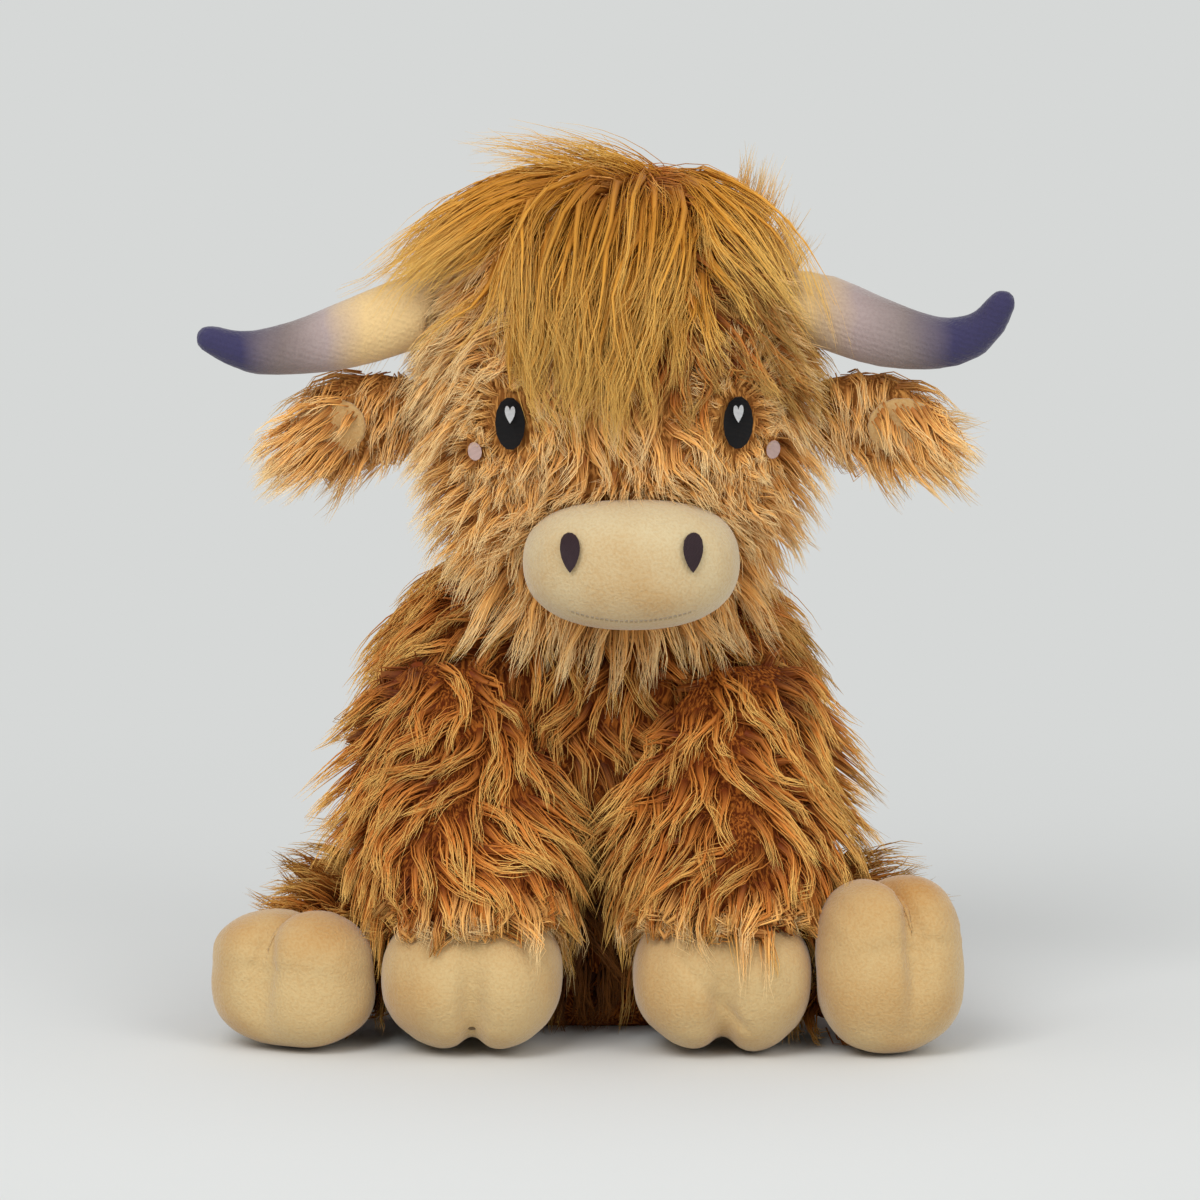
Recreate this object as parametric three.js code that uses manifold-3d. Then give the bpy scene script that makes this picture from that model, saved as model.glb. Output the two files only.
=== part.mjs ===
// A seated long-haired plush cow: stuffed torso and head in long pile, a swept forelock,
// curved horns, hanging ears, four cloven feet in short pile, and a tail with a tuft.
// Millimetres, +Z up, the face looks along -Y. Left and right are as seen from the front.
// Each long-haired piece is as large as its combed pile, not as its backing cloth.
import * as THREE from 'three';
import { mergeVertices } from 'three/addons/utils/BufferGeometryUtils.js';
import Module from 'manifold-3d';

const wasm = await Module();
wasm.setup();

// Driving sizes

const seam = 0.4; // gap left at a sewn edge
const pile = 13; // thickness of the combed long pile with its backing cloth
const floorCut = 0.5; // depth to which a stuffed foot flattens on the floor
const overrun = 40; // how far a cutter reaches past what it cuts

const torso = {
  width: 156,
  depth: 126,
  height: 193,
  seatDepth: 18, // how much of the round base is pressed flat by the seat
};
const seatPanel = { width: 78, depth: 68, thickness: 3 };
const beanBag = { width: 64, depth: 58, height: 30 };
const head = {
  width: 136,
  depth: 120,
  height: 164,
  rise: 54, // centre above the top of the torso
  shift: 8, // centre to the right of the torso's
  forward: 42, // centre in front of the torso's
  faceShift: 2.5, // the face looks a little to the right
  neckOpening: 52,
};
const muzzle = { width: 77, depth: 58, height: 48, overChin: 29, proud: 20 };
const nostril = { width: 7, height: 13.5, spacing: 43, rise: 6.5, thickness: 1.2 };
const eye = { width: 10.6, height: 18.6, spacing: 80, drop: 4, thickness: 1.6 };
const glint = { width: 3.6, height: 6.2, rise: 3.4, thickness: 0.8 };
const blush = { width: 5, height: 6.5, spacing: 105, drop: 15, thickness: 1 };
const forelock = {
  width: 124,
  depth: 112,
  height: 84,
  proud: 4, // how far it stands over the head
  fringeWidth: 72,
  fringeThickness: 18,
  sweepWidth: 46,
  sweepThickness: 22,
};
const horn = { thickness: 27, tipThickness: 10, inset: 14, forward: 22 };
const ear = {
  length: 46,
  width: 36,
  thickness: 16,
  droop: 11,
  forward: 13,
  inset: 8,
  liningLength: 25,
  liningWidth: 21,
  liningThickness: 2.4,
};
const frontLeg = { girth: 74, ankleGirth: 70, spacing: 96, height: 106, forward: 42, hem: 43 };
const frontHoof = { width: 65, length: 64, height: 53, forward: 84 };
const hindLeg = { girth: 62, ankleGirth: 48, spacing: 128, height: 37, forward: 2 };
const leftHindHoof = { width: 60, length: 47, height: 46, out: 107, forward: 77 };
const rightHindHoof = { width: 54, length: 50, height: 60, out: 104, forward: 88 };
const tail = { girth: 13, length: 52, height: 62, sag: 34, inset: 8 };
const tuft = { width: 28, depth: 26, height: 42 };

// What differs between the two sides, as the toy was set down

const sides = {
  left: {
    sign: -1,
    hornReach: 80,
    hornSag: 14,
    hornReachShares: [0, 0.08, 0.34, 0.53, 0.7, 0.84, 1],
    hornRiseShares: [0, -0.07, -0.57, -0.86, -1, -1, -0.64],
    frontHoofOut: 43,
    hindHoof: leftHindHoof,
  },
  right: {
    sign: 1,
    hornReach: 72,
    hornSag: 12,
    hornReachShares: [0, 0.1, 0.38, 0.56, 0.74, 0.9, 1],
    hornRiseShares: [0, -0.06, -0.66, -0.9, -0.94, -0.56, 0.3],
    frontHoofOut: 45.5,
    hindHoof: rightHindHoof,
  },
};

// How far each joint turns, in degrees

const turns = { nod: [-6, 8], swing: [0, 35], splay: [0, 15], flap: [-15, 15] };
const turnSteps = { past: 18, of: 4 }; // the coarsest steps at which room is made for them

// How limbs swell and taper, from root to tip, as shares of their girth

const hornGirthShares = [1, 1, 0.98, 0.9, 0.74, 0.6, 0.4];
const hornForwardShares = [0, 0.04, 0.2, 0.4, 0.62, 0.82, 1];
const earWidthShares = [0.5, 0.8, 1, 0.96, 0.7];
const earThicknessShares = [0.9, 1, 1, 0.86, 0.6];
const legWidthShares = [1, 1.04, 1.06, 1.04, 1];
const legThicknessShares = [1, 1, 0.99, 0.98, 0.98];
const fringeWidthShares = [1, 1, 0.86, 0.6, 0.36];
const sweepWidthShares = [1, 1, 0.8, 0.5];

// Where pieces start on the ball that carries them, as directions across, back and up

const hornRootShares = [0.82, -0.06, 0.34];
const earRootShares = [1, 0.12, -0.06];
const neckShares = [0, -0.3, 1];
const shoulderShares = [0.62, -1, 0.62];
const hipShares = [1, 0.04, -0.42];
const fringeRouteShares = [
  [-0.12, -0.3, 1],
  [-0.16, -0.7, 0.74],
  [-0.08, -1, 0.36],
  [0, -1, 0.02],
  [0.02, -1, -0.12],
];
const sweepRouteShares = [
  [-0.2, -0.2, 1],
  [-0.5, -0.3, 0.82],
  [-0.86, -0.3, 0.56],
  [-1, -0.26, 0.36],
];

// Colours

const cloth = (color, roughness = 0.9) =>
  new THREE.MeshStandardMaterial({ color, roughness, metalness: 0 });
const finish = {
  bodyPile: cloth(0x9a5a26),
  headPile: cloth(0xbd8548),
  goldPile: cloth(0xb8822f),
  shortPile: cloth(0xe2c68e),
  hornPile: cloth(0xa5938c),
  darkThread: cloth(0x3f3236, 0.7),
  blackThread: cloth(0x0d0b10, 0.5),
  whiteThread: cloth(0xe8e8ea, 0.6),
  pinkThread: cloth(0xe3b2ad, 0.8),
  fibre: cloth(0xece9e2),
  pellets: cloth(0xcfc7b8),
};

// Solids and meshes

const solidOf = (geometry) => {
  const bare = geometry.clone();
  bare.deleteAttribute('normal');
  bare.deleteAttribute('uv');
  const merged = mergeVertices(bare);
  return new wasm.Manifold(
    new wasm.Mesh({
      numProp: 3,
      vertProperties: merged.attributes.position.array,
      triVerts: new Uint32Array(merged.index.array),
    }),
  );
};

const meshOf = (name, solid, material) => {
  const { vertProperties, triVerts } = solid.getMesh();
  const geometry = new THREE.BufferGeometry();
  geometry.setAttribute('position', new THREE.BufferAttribute(vertProperties, 3));
  geometry.setIndex(new THREE.BufferAttribute(triVerts, 1));
  geometry.computeVertexNormals();
  const mesh = new THREE.Mesh(geometry, material);
  mesh.name = name;
  return mesh;
};

const joined = (solids) => solids.reduce((whole, solid) => whole.add(solid));
const cutBy = (solid, cutters) => cutters.reduce((left, cutter) => left.subtract(cutter), solid);

// A stuffed ball of cloth, a little squarer than an ellipsoid.
const bluntness = { body: 2.8, head: 2.15, snout: 2.35, foot: 2.35, tuft: 2 };

class Ball {
  constructor({ centre, width, depth, height, square }) {
    Object.assign(this, { centre, width, depth, height, square });
  }

  // The point of its surface in a direction given across, back and up.
  pointAt([across, back, up], grow = 0) {
    const { centre, width, depth, height, square } = this;
    const norm = Math.abs(across) ** square + Math.abs(back) ** square + Math.abs(up) ** square;
    const reach = norm ** (-1 / square);
    return new THREE.Vector3(
      centre.x + across * reach * (width / 2 + grow),
      centre.y + back * reach * (depth / 2 + grow),
      centre.z + up * reach * (height / 2 + grow),
    );
  }

  form(grow, detail) {
    const geometry = new THREE.IcosahedronGeometry(1, detail);
    const place = geometry.attributes.position;
    const corner = new THREE.Vector3();
    for (let i = 0; i < place.count; i++) {
      corner.fromBufferAttribute(place, i);
      const { x, y, z } = this.pointAt(corner.toArray(), grow);
      place.setXYZ(i, x, y, z);
    }
    return geometry;
  }
}

// A value read smoothly from a table of shares, from 0 to 1 along it.
const readShares = (shares, at) =>
  new THREE.SplineCurve(shares.map((share, i) => new THREE.Vector2(i, share))).getPoint(at).y;

// One closed skin over rings of points, with a point at each end.
function skinOver(first, ringList, last) {
  const around = ringList[0].length;
  const corners = [first, ...ringList.flat(), last];
  const faces = [];
  for (let j = 0; j < around; j++) {
    const next = (j + 1) % around;
    faces.push(0, 1 + next, 1 + j);
    for (let i = 0; i < ringList.length - 1; i++) {
      const a = 1 + i * around + j;
      const b = 1 + i * around + next;
      faces.push(a, b, a + around, b, b + around, a + around);
    }
    const end = 1 + (ringList.length - 1) * around;
    faces.push(end + j, end + next, corners.length - 1);
  }
  const geometry = new THREE.BufferGeometry();
  geometry.setAttribute(
    'position',
    new THREE.Float32BufferAttribute(corners.flatMap((corner) => corner.toArray()), 3),
  );
  geometry.setIndex(faces);
  return geometry;
}

// A stuffed limb: rings along a curve, each with its own width and thickness, and round ends.
function stuffedLimb({ path, width, thickness = width, widthWay, rings, around, caps = 3, grow }) {
  const loop = (centre, along, broad, thin) => {
    const side = widthWay.clone().addScaledVector(along, -widthWay.dot(along)).normalize();
    const front = new THREE.Vector3().crossVectors(along, side);
    return Array.from({ length: around }, (_, j) => {
      const turn = (2 * Math.PI * j) / around;
      return centre
        .clone()
        .addScaledVector(side, Math.cos(turn) * broad)
        .addScaledVector(front, Math.sin(turn) * thin);
    });
  };
  const roundEnd = (at, way) => {
    const centre = path.getPointAt(at);
    const along = path.getTangentAt(at);
    const broad = width(at) / 2 + grow;
    const thin = thickness(at) / 2 + grow;
    const reach = (way * (broad + thin)) / 2;
    const loops = Array.from({ length: caps - 1 }, (_, k) => {
      const lean = (Math.PI * (k + 1)) / (2 * caps);
      const middle = centre.clone().addScaledVector(along, reach * Math.cos(lean));
      return loop(middle, along, broad * Math.sin(lean), thin * Math.sin(lean));
    });
    return { point: centre.clone().addScaledVector(along, reach), loops };
  };
  const root = roundEnd(0, -1);
  const tip = roundEnd(1, 1);
  const body = Array.from({ length: rings + 1 }, (_, i) => {
    const at = i / rings;
    return loop(
      path.getPointAt(at),
      path.getTangentAt(at),
      width(at) / 2 + grow,
      thickness(at) / 2 + grow,
    );
  });
  return skinOver(root.point, [...root.loops, ...body, ...tip.loops.reverse()], tip.point);
}

const curveThrough = (points) => new THREE.CatmullRomCurve3(points, false, 'centripetal');
const acrossWay = new THREE.Vector3(1, 0, 0);
const backWay = new THREE.Vector3(0, 1, 0);
const upWay = new THREE.Vector3(0, 0, 1);

// An upright oval prism between two heights.
const uprightOval = (width, depth, { x, y }, low, high) =>
  new THREE.ExtrudeGeometry(oval(width, depth), {
    depth: high - low,
    bevelEnabled: false,
    curveSegments: 14,
  }).translate(x, y, low);

// A flat shape seen from the front, as a prism that runs forward from the middle of its carrier.
const frontPrism = (shape, x, y, z) =>
  new THREE.ExtrudeGeometry(shape, {
    depth: head.depth / 2 + overrun,
    bevelEnabled: false,
    curveSegments: 7,
  })
    .rotateX(Math.PI / 2)
    .translate(x, y, z);

// Everything below a height.
const below = (height) => {
  const size = torso.width + torso.height + head.height + overrun;
  return solidOf(new THREE.BoxGeometry(2 * size, 2 * size, size).translate(0, 0, height - size / 2));
};

// Outlines

function oval(width, height) {
  return new THREE.Shape().absellipse(0, 0, width / 2, height / 2, 0, 2 * Math.PI, false, 0);
}

// A drop and a heart, each with its point below, as shares of their half width and half height
const dropShares = [
  [0.7, -0.6, 1, -0.1, 1, 0.3],
  [1, 1.25, -1, 1.25, -1, 0.3],
  [-1, -0.1, -0.7, -0.6, 0, -1],
];
const heartShares = [
  [0.6, -0.5, 1, 0, 1, 0.4],
  [1, 1.2, 0.2, 1.1, 0, 0.45],
  [-0.2, 1.1, -1, 1.2, -1, 0.4],
  [-1, 0, -0.6, -0.5, 0, -1],
];

function outline(curveShares, width, height) {
  const shape = new THREE.Shape().moveTo(0, -height / 2);
  for (const shares of curveShares) {
    shape.bezierCurveTo(...shares.map((share, i) => (share * (i % 2 ? height : width)) / 2));
  }
  return shape;
}

// Embroidery: what a prism covers of a layer that lies over its carrier.
const sewnOn = (prism, carrier, from, thickness) =>
  solidOf(prism)
    .intersect(solidOf(carrier(from + thickness)))
    .subtract(solidOf(carrier(from)));

// Torso

const torsoBall = new Ball({
  centre: new THREE.Vector3(0, 0, torso.height / 2 - torso.seatDepth),
  width: torso.width,
  depth: torso.depth,
  height: torso.height,
  square: bluntness.body,
});
const torsoForm = (grow = 0) => torsoBall.form(grow, 7);

const seatPanelForm = (grow = 0) =>
  uprightOval(
    seatPanel.width + 2 * grow,
    seatPanel.depth + 2 * grow,
    torsoBall.centre,
    -grow,
    seatPanel.thickness + grow,
  );

const beanBagBall = new Ball({
  centre: torsoBall.centre.clone().setZ(seatPanel.thickness + seam + beanBag.height / 2),
  width: beanBag.width,
  depth: beanBag.depth,
  height: beanBag.height,
  square: bluntness.head,
});

// Head

const headBall = new Ball({
  centre: new THREE.Vector3(
    head.shift,
    -head.forward,
    torso.height - torso.seatDepth + head.rise,
  ),
  width: head.width,
  depth: head.depth,
  height: head.height,
  square: bluntness.head,
});
const headForm = (grow = 0) => headBall.form(grow, 7);
const faceX = headBall.centre.x + head.faceShift;

const muzzleBall = new Ball({
  centre: new THREE.Vector3(
    faceX + head.faceShift,
    headBall.centre.y - head.depth / 2 - muzzle.proud + muzzle.depth / 2,
    headBall.centre.z - head.height / 2 + muzzle.overChin,
  ),
  width: muzzle.width,
  depth: muzzle.depth,
  height: muzzle.height,
  square: bluntness.snout,
});
const muzzleForm = (grow = 0) => muzzleBall.form(grow, 4);

// The gold mop: a cap over the crown, a fringe down the forehead and a lock swept to the left.
const crownBall = new Ball({
  centre: new THREE.Vector3(
    headBall.centre.x,
    headBall.centre.y,
    headBall.centre.z + (head.height - forelock.height) / 2 + forelock.proud,
  ),
  width: forelock.width,
  depth: forelock.depth,
  height: forelock.height,
  square: bluntness.tuft,
});
const alongHead = (routeShares, thickness) =>
  curveThrough(
    routeShares.map((shares) => headBall.pointAt(shares, forelock.proud - thickness / 2)),
  );

const mopForm = (grow = 0) =>
  joined([
    solidOf(crownBall.form(grow, 4)),
    solidOf(
      stuffedLimb({
        path: alongHead(fringeRouteShares, forelock.fringeThickness),
        width: (at) => forelock.fringeWidth * readShares(fringeWidthShares, at),
        thickness: () => forelock.fringeThickness,
        widthWay: acrossWay,
        rings: 8,
        around: 12,
        grow,
      }),
    ),
    solidOf(
      stuffedLimb({
        path: alongHead(sweepRouteShares, forelock.sweepThickness),
        width: (at) => forelock.sweepWidth * readShares(sweepWidthShares, at),
        thickness: () => forelock.sweepThickness,
        widthWay: backWay,
        rings: 6,
        around: 12,
        grow,
      }),
    ),
  ]);

// Horns

function hornForm({ sign, hornReach, hornSag, hornReachShares, hornRiseShares }) {
  const [across, back, up] = hornRootShares;
  const root = headBall.pointAt([sign * across, back, up]);
  const points = hornReachShares.map(
    (share, i) =>
      new THREE.Vector3(
        root.x + sign * hornReach * share,
        root.y - horn.forward * hornForwardShares[i],
        root.z + hornSag * hornRiseShares[i],
      ),
  );
  const rootInside = points[0].clone().addScaledVector(acrossWay, -sign * horn.inset);
  return stuffedLimb({
    path: curveThrough([rootInside, ...points]),
    width: (at) => Math.max(horn.tipThickness, horn.thickness * readShares(hornGirthShares, at)),
    widthWay: upWay,
    rings: 12,
    around: 14,
    grow: 0,
  });
}

// Ears

const earRoot = ({ sign }) => {
  const [across, back, up] = earRootShares;
  return headBall.pointAt([sign * across, back, up]);
};

function earForm(side, grow = 0) {
  const root = earRoot(side);
  const tip = new THREE.Vector3(
    root.x + side.sign * ear.length,
    root.y - ear.forward,
    root.z - ear.droop,
  );
  const middle = root.clone().lerp(tip, 1 / 2).addScaledVector(upWay, ear.droop / 4);
  const rootInside = root.clone().addScaledVector(acrossWay, -side.sign * ear.inset);
  return stuffedLimb({
    path: curveThrough([rootInside, middle, tip]),
    width: (at) => ear.width * readShares(earWidthShares, at),
    thickness: (at) => ear.thickness * readShares(earThicknessShares, at),
    widthWay: upWay,
    rings: 7,
    around: 14,
    grow,
  });
}

// The lining lies on the front of the ear, in its outer half.
function earLiningSolid(side) {
  const root = earRoot(side);
  const prism = frontPrism(
    oval(ear.liningLength, ear.liningWidth),
    root.x + side.sign * (ear.length - ear.liningLength / 2),
    root.y - ear.forward,
    root.z - ear.droop / 2,
  );
  return sewnOn(prism, (grow) => earForm(side, grow), seam, ear.liningThickness);
}

// Feet

// A cloven foot: rings across its width, drawn in along the middle where the two toes meet.
const cleftDepthShare = 0.3;
const cleftWidthShare = 0.13;
const ringPlaceShares = [-0.96, -0.84, -0.6, -0.34, -0.16, -0.05, 0.05, 0.16, 0.34, 0.6, 0.84, 0.96];

function clovenFoot({ centre, width, length, height, toeWay, soleWay, grow }) {
  const around = 18;
  const across = new THREE.Vector3().crossVectors(toeWay, soleWay);
  const place = (share, turn) => {
    const toe = Math.cos(turn);
    const sole = Math.sin(turn);
    const square = bluntness.foot;
    const girthShare = (1 - Math.abs(share) ** square) ** (1 / square);
    const reachShare = (Math.abs(toe) ** square + Math.abs(sole) ** square) ** (-1 / square);
    const cleft = Math.exp(-((share / cleftWidthShare) ** 2));
    const cloven = cleftDepthShare * cleft * THREE.MathUtils.smoothstep(toe + sole, -0.3, 1.35);
    const spread = girthShare * reachShare * (1 - cloven);
    return centre
      .clone()
      .addScaledVector(across, share * (width / 2 + grow))
      .addScaledVector(toeWay, toe * spread * (length / 2 + grow))
      .addScaledVector(soleWay, sole * spread * (height / 2 + grow));
  };
  const ringList = ringPlaceShares.map((share) =>
    Array.from({ length: around }, (_, j) => place(share, (2 * Math.PI * j) / around)),
  );
  return skinOver(place(-1, 0), ringList, place(1, 0));
}

const frontHoofCentre = ({ sign, frontHoofOut }) =>
  new THREE.Vector3(sign * frontHoofOut, -frontHoof.forward, frontHoof.height / 2 - floorCut);

const frontHoofForm = (side, grow = 0) =>
  clovenFoot({
    centre: frontHoofCentre(side),
    width: frontHoof.width,
    length: frontHoof.length,
    height: frontHoof.height,
    toeWay: backWay.clone().negate(),
    soleWay: upWay.clone().negate(),
    grow,
  });

const hindHoofCentre = ({ sign, hindHoof }) =>
  new THREE.Vector3(sign * hindHoof.out, -hindHoof.forward, hindHoof.height / 2 - floorCut);

const hindLegTop = ({ sign }) =>
  new THREE.Vector3((sign * hindLeg.spacing) / 2, -hindLeg.forward, hindLeg.height);

// The hind feet lie on their heels, toes up and soles outwards.
function hindHoofForm(side, grow = 0) {
  const { width, length, height } = side.hindHoof;
  const centre = hindHoofCentre(side);
  return clovenFoot({
    centre,
    width,
    length: height,
    height: length,
    toeWay: upWay,
    soleWay: centre.clone().sub(hindLegTop(side)).setZ(0).normalize(),
    grow,
  });
}

// Legs

const frontLegTop = ({ sign }) =>
  new THREE.Vector3((sign * frontLeg.spacing) / 2, -frontLeg.forward, frontLeg.height);

function frontLegForm(side, grow = 0) {
  const top = frontLegTop(side);
  const ankle = frontHoofCentre(side);
  ankle.y += frontHoof.length / 16;
  ankle.z += frontHoof.height / 2;
  const girth = (at) => THREE.MathUtils.lerp(frontLeg.girth, frontLeg.ankleGirth, at);
  return stuffedLimb({
    path: curveThrough([top, top.clone().lerp(ankle, 1 / 2), ankle]),
    width: (at) => girth(at) * readShares(legWidthShares, at),
    thickness: (at) => girth(at) * readShares(legThicknessShares, at),
    widthWay: acrossWay,
    rings: 6,
    around: 18,
    grow,
  });
}

function hindLegForm(side, grow = 0) {
  const top = hindLegTop(side);
  const ankle = hindHoofCentre(side).lerp(top, 1 / 3).setZ(hindLeg.ankleGirth / 2);
  return stuffedLimb({
    path: curveThrough([top, top.clone().lerp(ankle, 1 / 2), ankle]),
    width: (at) => THREE.MathUtils.lerp(hindLeg.girth, hindLeg.ankleGirth, at),
    widthWay: upWay,
    rings: 5,
    around: 18,
    grow,
  });
}

// Tail

const tailRoot = new THREE.Vector3(0, torso.depth / 2 - tail.inset, tail.height);
const tailTip = new THREE.Vector3(
  tailRoot.x,
  tailRoot.y + tail.inset + tail.sag,
  tailRoot.z - tail.length / 2,
);

function tailForm() {
  const bend = new THREE.Vector3(
    tailRoot.x,
    tailRoot.y + tail.inset + tail.sag / 2,
    tailRoot.z - tail.length / 10,
  );
  return stuffedLimb({
    path: curveThrough([tailRoot, bend, tailTip]),
    width: () => tail.girth,
    widthWay: acrossWay,
    rings: 6,
    around: 10,
    grow: 0,
  });
}

const tuftBall = new Ball({ centre: tailTip, ...tuft, square: bluntness.tuft });

// Joints: a pivot on the seam and the axis that the piece turns about

const joints = {
  nod: { pivot: torsoBall.pointAt(neckShares), axis: acrossWay, limits: turns.nod },
  swing: ({ sign }) => {
    const [across, back, up] = shoulderShares;
    return {
      pivot: torsoBall.pointAt([sign * across, back, up]),
      axis: acrossWay.clone().negate(),
      limits: turns.swing,
    };
  },
  splay: ({ sign }) => {
    const [across, back, up] = hipShares;
    return {
      pivot: torsoBall.pointAt([sign * across, back, up]),
      axis: upWay.clone().multiplyScalar(sign),
      limits: turns.splay,
    };
  },
  flap: (side) => ({
    pivot: earRoot(side),
    axis: upWay.clone().multiplyScalar(side.sign),
    limits: turns.flap,
  }),
};

const turned = (geometry, { pivot, axis }, degrees) =>
  geometry
    .clone()
    .translate(-pivot.x, -pivot.y, -pivot.z)
    .applyMatrix4(new THREE.Matrix4().makeRotationAxis(axis, THREE.MathUtils.degToRad(degrees)))
    .translate(pivot.x, pivot.y, pivot.z);

// Rest and each limit of a joint, and even steps between them of at most the given turn.
const placesOf = ({ limits }, step) => [
  0,
  ...limits.flatMap((limit) => {
    const count = Math.ceil(Math.abs(limit) / step);
    return Array.from({ length: count }, (_, i) => (limit * (i + 1)) / count);
  }),
];

// The room that a fixed form takes up, as met by the piece that turns against it.
const wayPast = (geometry, joint) =>
  joined(placesOf(joint, turnSteps.past).map((turn) => solidOf(turned(geometry, joint, -turn))));

// The room that a piece takes up as it turns.
const wayOf = (geometry, joint) =>
  joined(placesOf(joint, turnSteps.of).map((turn) => solidOf(turned(geometry, joint, turn))));

// The toy

const toy = new THREE.Group();
const put = (name, solid, material) => toy.add(meshOf(name, solid, material));
const floor = below(0);

// Torso: long pile on cloth, closed by a seat panel over a bag of pellets.
const seatHole = uprightOval(seatPanel.width, seatPanel.depth, torsoBall.centre, -overrun, pile);
const torsoCover = cutBy(solidOf(torsoForm()), [
  solidOf(torsoBall.form(-pile, 3)),
  solidOf(seatPanelForm(seam)),
  solidOf(seatHole),
  floor,
]);
const torsoFilling = cutBy(solidOf(torsoBall.form(-pile - seam, 3)), [
  solidOf(beanBagBall.form(seam, 2)),
  below(seatPanel.thickness + seam),
]);
put('torso_cover', torsoCover, finish.bodyPile);
put('torso_filling', torsoFilling, finish.fibre);
put('seat_panel', solidOf(seatPanelForm()), finish.bodyPile);
put('bean_bag', solidOf(beanBagBall.form(0, 2)), finish.pellets);

// Head: open at the neck, where its filling meets the torso.
const torsoPast = wayPast(torsoForm(seam), joints.nod);
const neckHole = uprightOval(
  head.neckOpening,
  head.neckOpening,
  joints.nod.pivot,
  joints.nod.pivot.z - overrun,
  headBall.centre.z,
);
const headHollow = joined([solidOf(headBall.form(-pile, 3)), solidOf(neckHole)]);
put('head_cover', cutBy(solidOf(headForm()), [headHollow, torsoPast]), finish.headPile);
put('head_filling', cutBy(solidOf(headBall.form(-pile - seam, 3)), [torsoPast]), finish.fibre);

const headSkin = solidOf(headForm(seam));
put('muzzle', cutBy(solidOf(muzzleForm()), [headSkin]), finish.shortPile);
put('forelock', cutBy(mopForm(), [headSkin]), finish.goldPile);

for (const [name, side] of Object.entries(sides)) {
  // Face
  const eyeX = faceX + (side.sign * eye.spacing) / 2;
  const eyeZ = headBall.centre.z - eye.drop;
  const eyePrism = frontPrism(oval(eye.width, eye.height), eyeX, headBall.centre.y, eyeZ);
  put(`eye_${name}`, sewnOn(eyePrism, headForm, seam, eye.thickness), finish.blackThread);

  const glintPrism = frontPrism(
    outline(heartShares, glint.width, glint.height),
    eyeX,
    headBall.centre.y,
    eyeZ + glint.rise,
  );
  const onEye = 2 * seam + eye.thickness;
  put(`eye_glint_${name}`, sewnOn(glintPrism, headForm, onEye, glint.thickness), finish.whiteThread);

  const blushPrism = frontPrism(
    oval(blush.width, blush.height),
    faceX + (side.sign * blush.spacing) / 2,
    headBall.centre.y,
    headBall.centre.z - blush.drop,
  );
  put(`cheek_${name}`, sewnOn(blushPrism, headForm, seam, blush.thickness), finish.pinkThread);

  const nostrilPrism = frontPrism(
    outline(dropShares, nostril.width, nostril.height),
    muzzleBall.centre.x + (side.sign * nostril.spacing) / 2,
    muzzleBall.centre.y,
    muzzleBall.centre.z + nostril.rise,
  );
  const nostrilSolid = sewnOn(nostrilPrism, muzzleForm, seam, nostril.thickness);
  put(`nostril_${name}`, nostrilSolid, finish.darkThread);

  // Horn and ear
  const hornSolid = cutBy(solidOf(hornForm(side)), [headSkin.add(mopForm(seam))]);
  put(`horn_${name}`, hornSolid, finish.hornPile);

  const earSolid = cutBy(solidOf(earForm(side)), [wayPast(headForm(seam), joints.flap(side))]);
  put(`ear_${name}`, earSolid, finish.headPile);
  put(`ear_lining_${name}`, earLiningSolid(side), finish.shortPile);

  // Front leg and hoof
  const swing = joints.swing(side);
  const frontLegSolid = cutBy(solidOf(frontLegForm(side)), [
    wayPast(torsoForm(seam), swing),
    solidOf(frontHoofForm(side, seam)),
    below(frontLeg.hem),
  ]);
  put(`front_leg_${name}`, frontLegSolid, finish.bodyPile);
  const frontHoofSolid = cutBy(solidOf(frontHoofForm(side)), [
    wayPast(torsoForm(seam), swing),
    floor,
  ]);
  put(`front_hoof_${name}`, frontHoofSolid, finish.shortPile);

  // Hind leg and hoof, behind the front leg at any height that it swings to
  const splay = joints.splay(side);
  const past = [
    wayPast(torsoForm(seam), splay),
    wayOf(frontLegForm(side, seam), swing),
    wayOf(frontHoofForm(side, seam), swing),
    floor,
  ];
  const hindLegSolid = cutBy(solidOf(hindLegForm(side)), [
    solidOf(hindHoofForm(side, seam)),
    ...past,
  ]);
  put(`hind_leg_${name}`, hindLegSolid, finish.bodyPile);
  put(`hind_hoof_${name}`, cutBy(solidOf(hindHoofForm(side)), past), finish.shortPile);
}

// Tail
const tailSolid = cutBy(solidOf(tailForm()), [
  solidOf(torsoForm(seam)),
  solidOf(tuftBall.form(seam, 2)),
]);
put('tail', tailSolid, finish.bodyPile);
put('tail_tuft', solidOf(tuftBall.form(0, 2)), finish.goldPile);

// The origin is on the floor, under the middle of the toy.
const reach = new THREE.Box3().setFromObject(toy);
const middle = reach.getCenter(new THREE.Vector3());
toy.position.set(-middle.x, -middle.y, -reach.min.z);
toy.updateMatrixWorld(true);

export default toy;
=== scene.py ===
"""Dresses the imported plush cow: wavy coat, short pile feet, muzzle and horns, embroidery, studio."""

import math
import random
from functools import lru_cache
from itertools import product

import bmesh
import bpy
from mathutils import Matrix, Vector, noise
from mathutils.bvhtree import BVHTree


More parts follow.
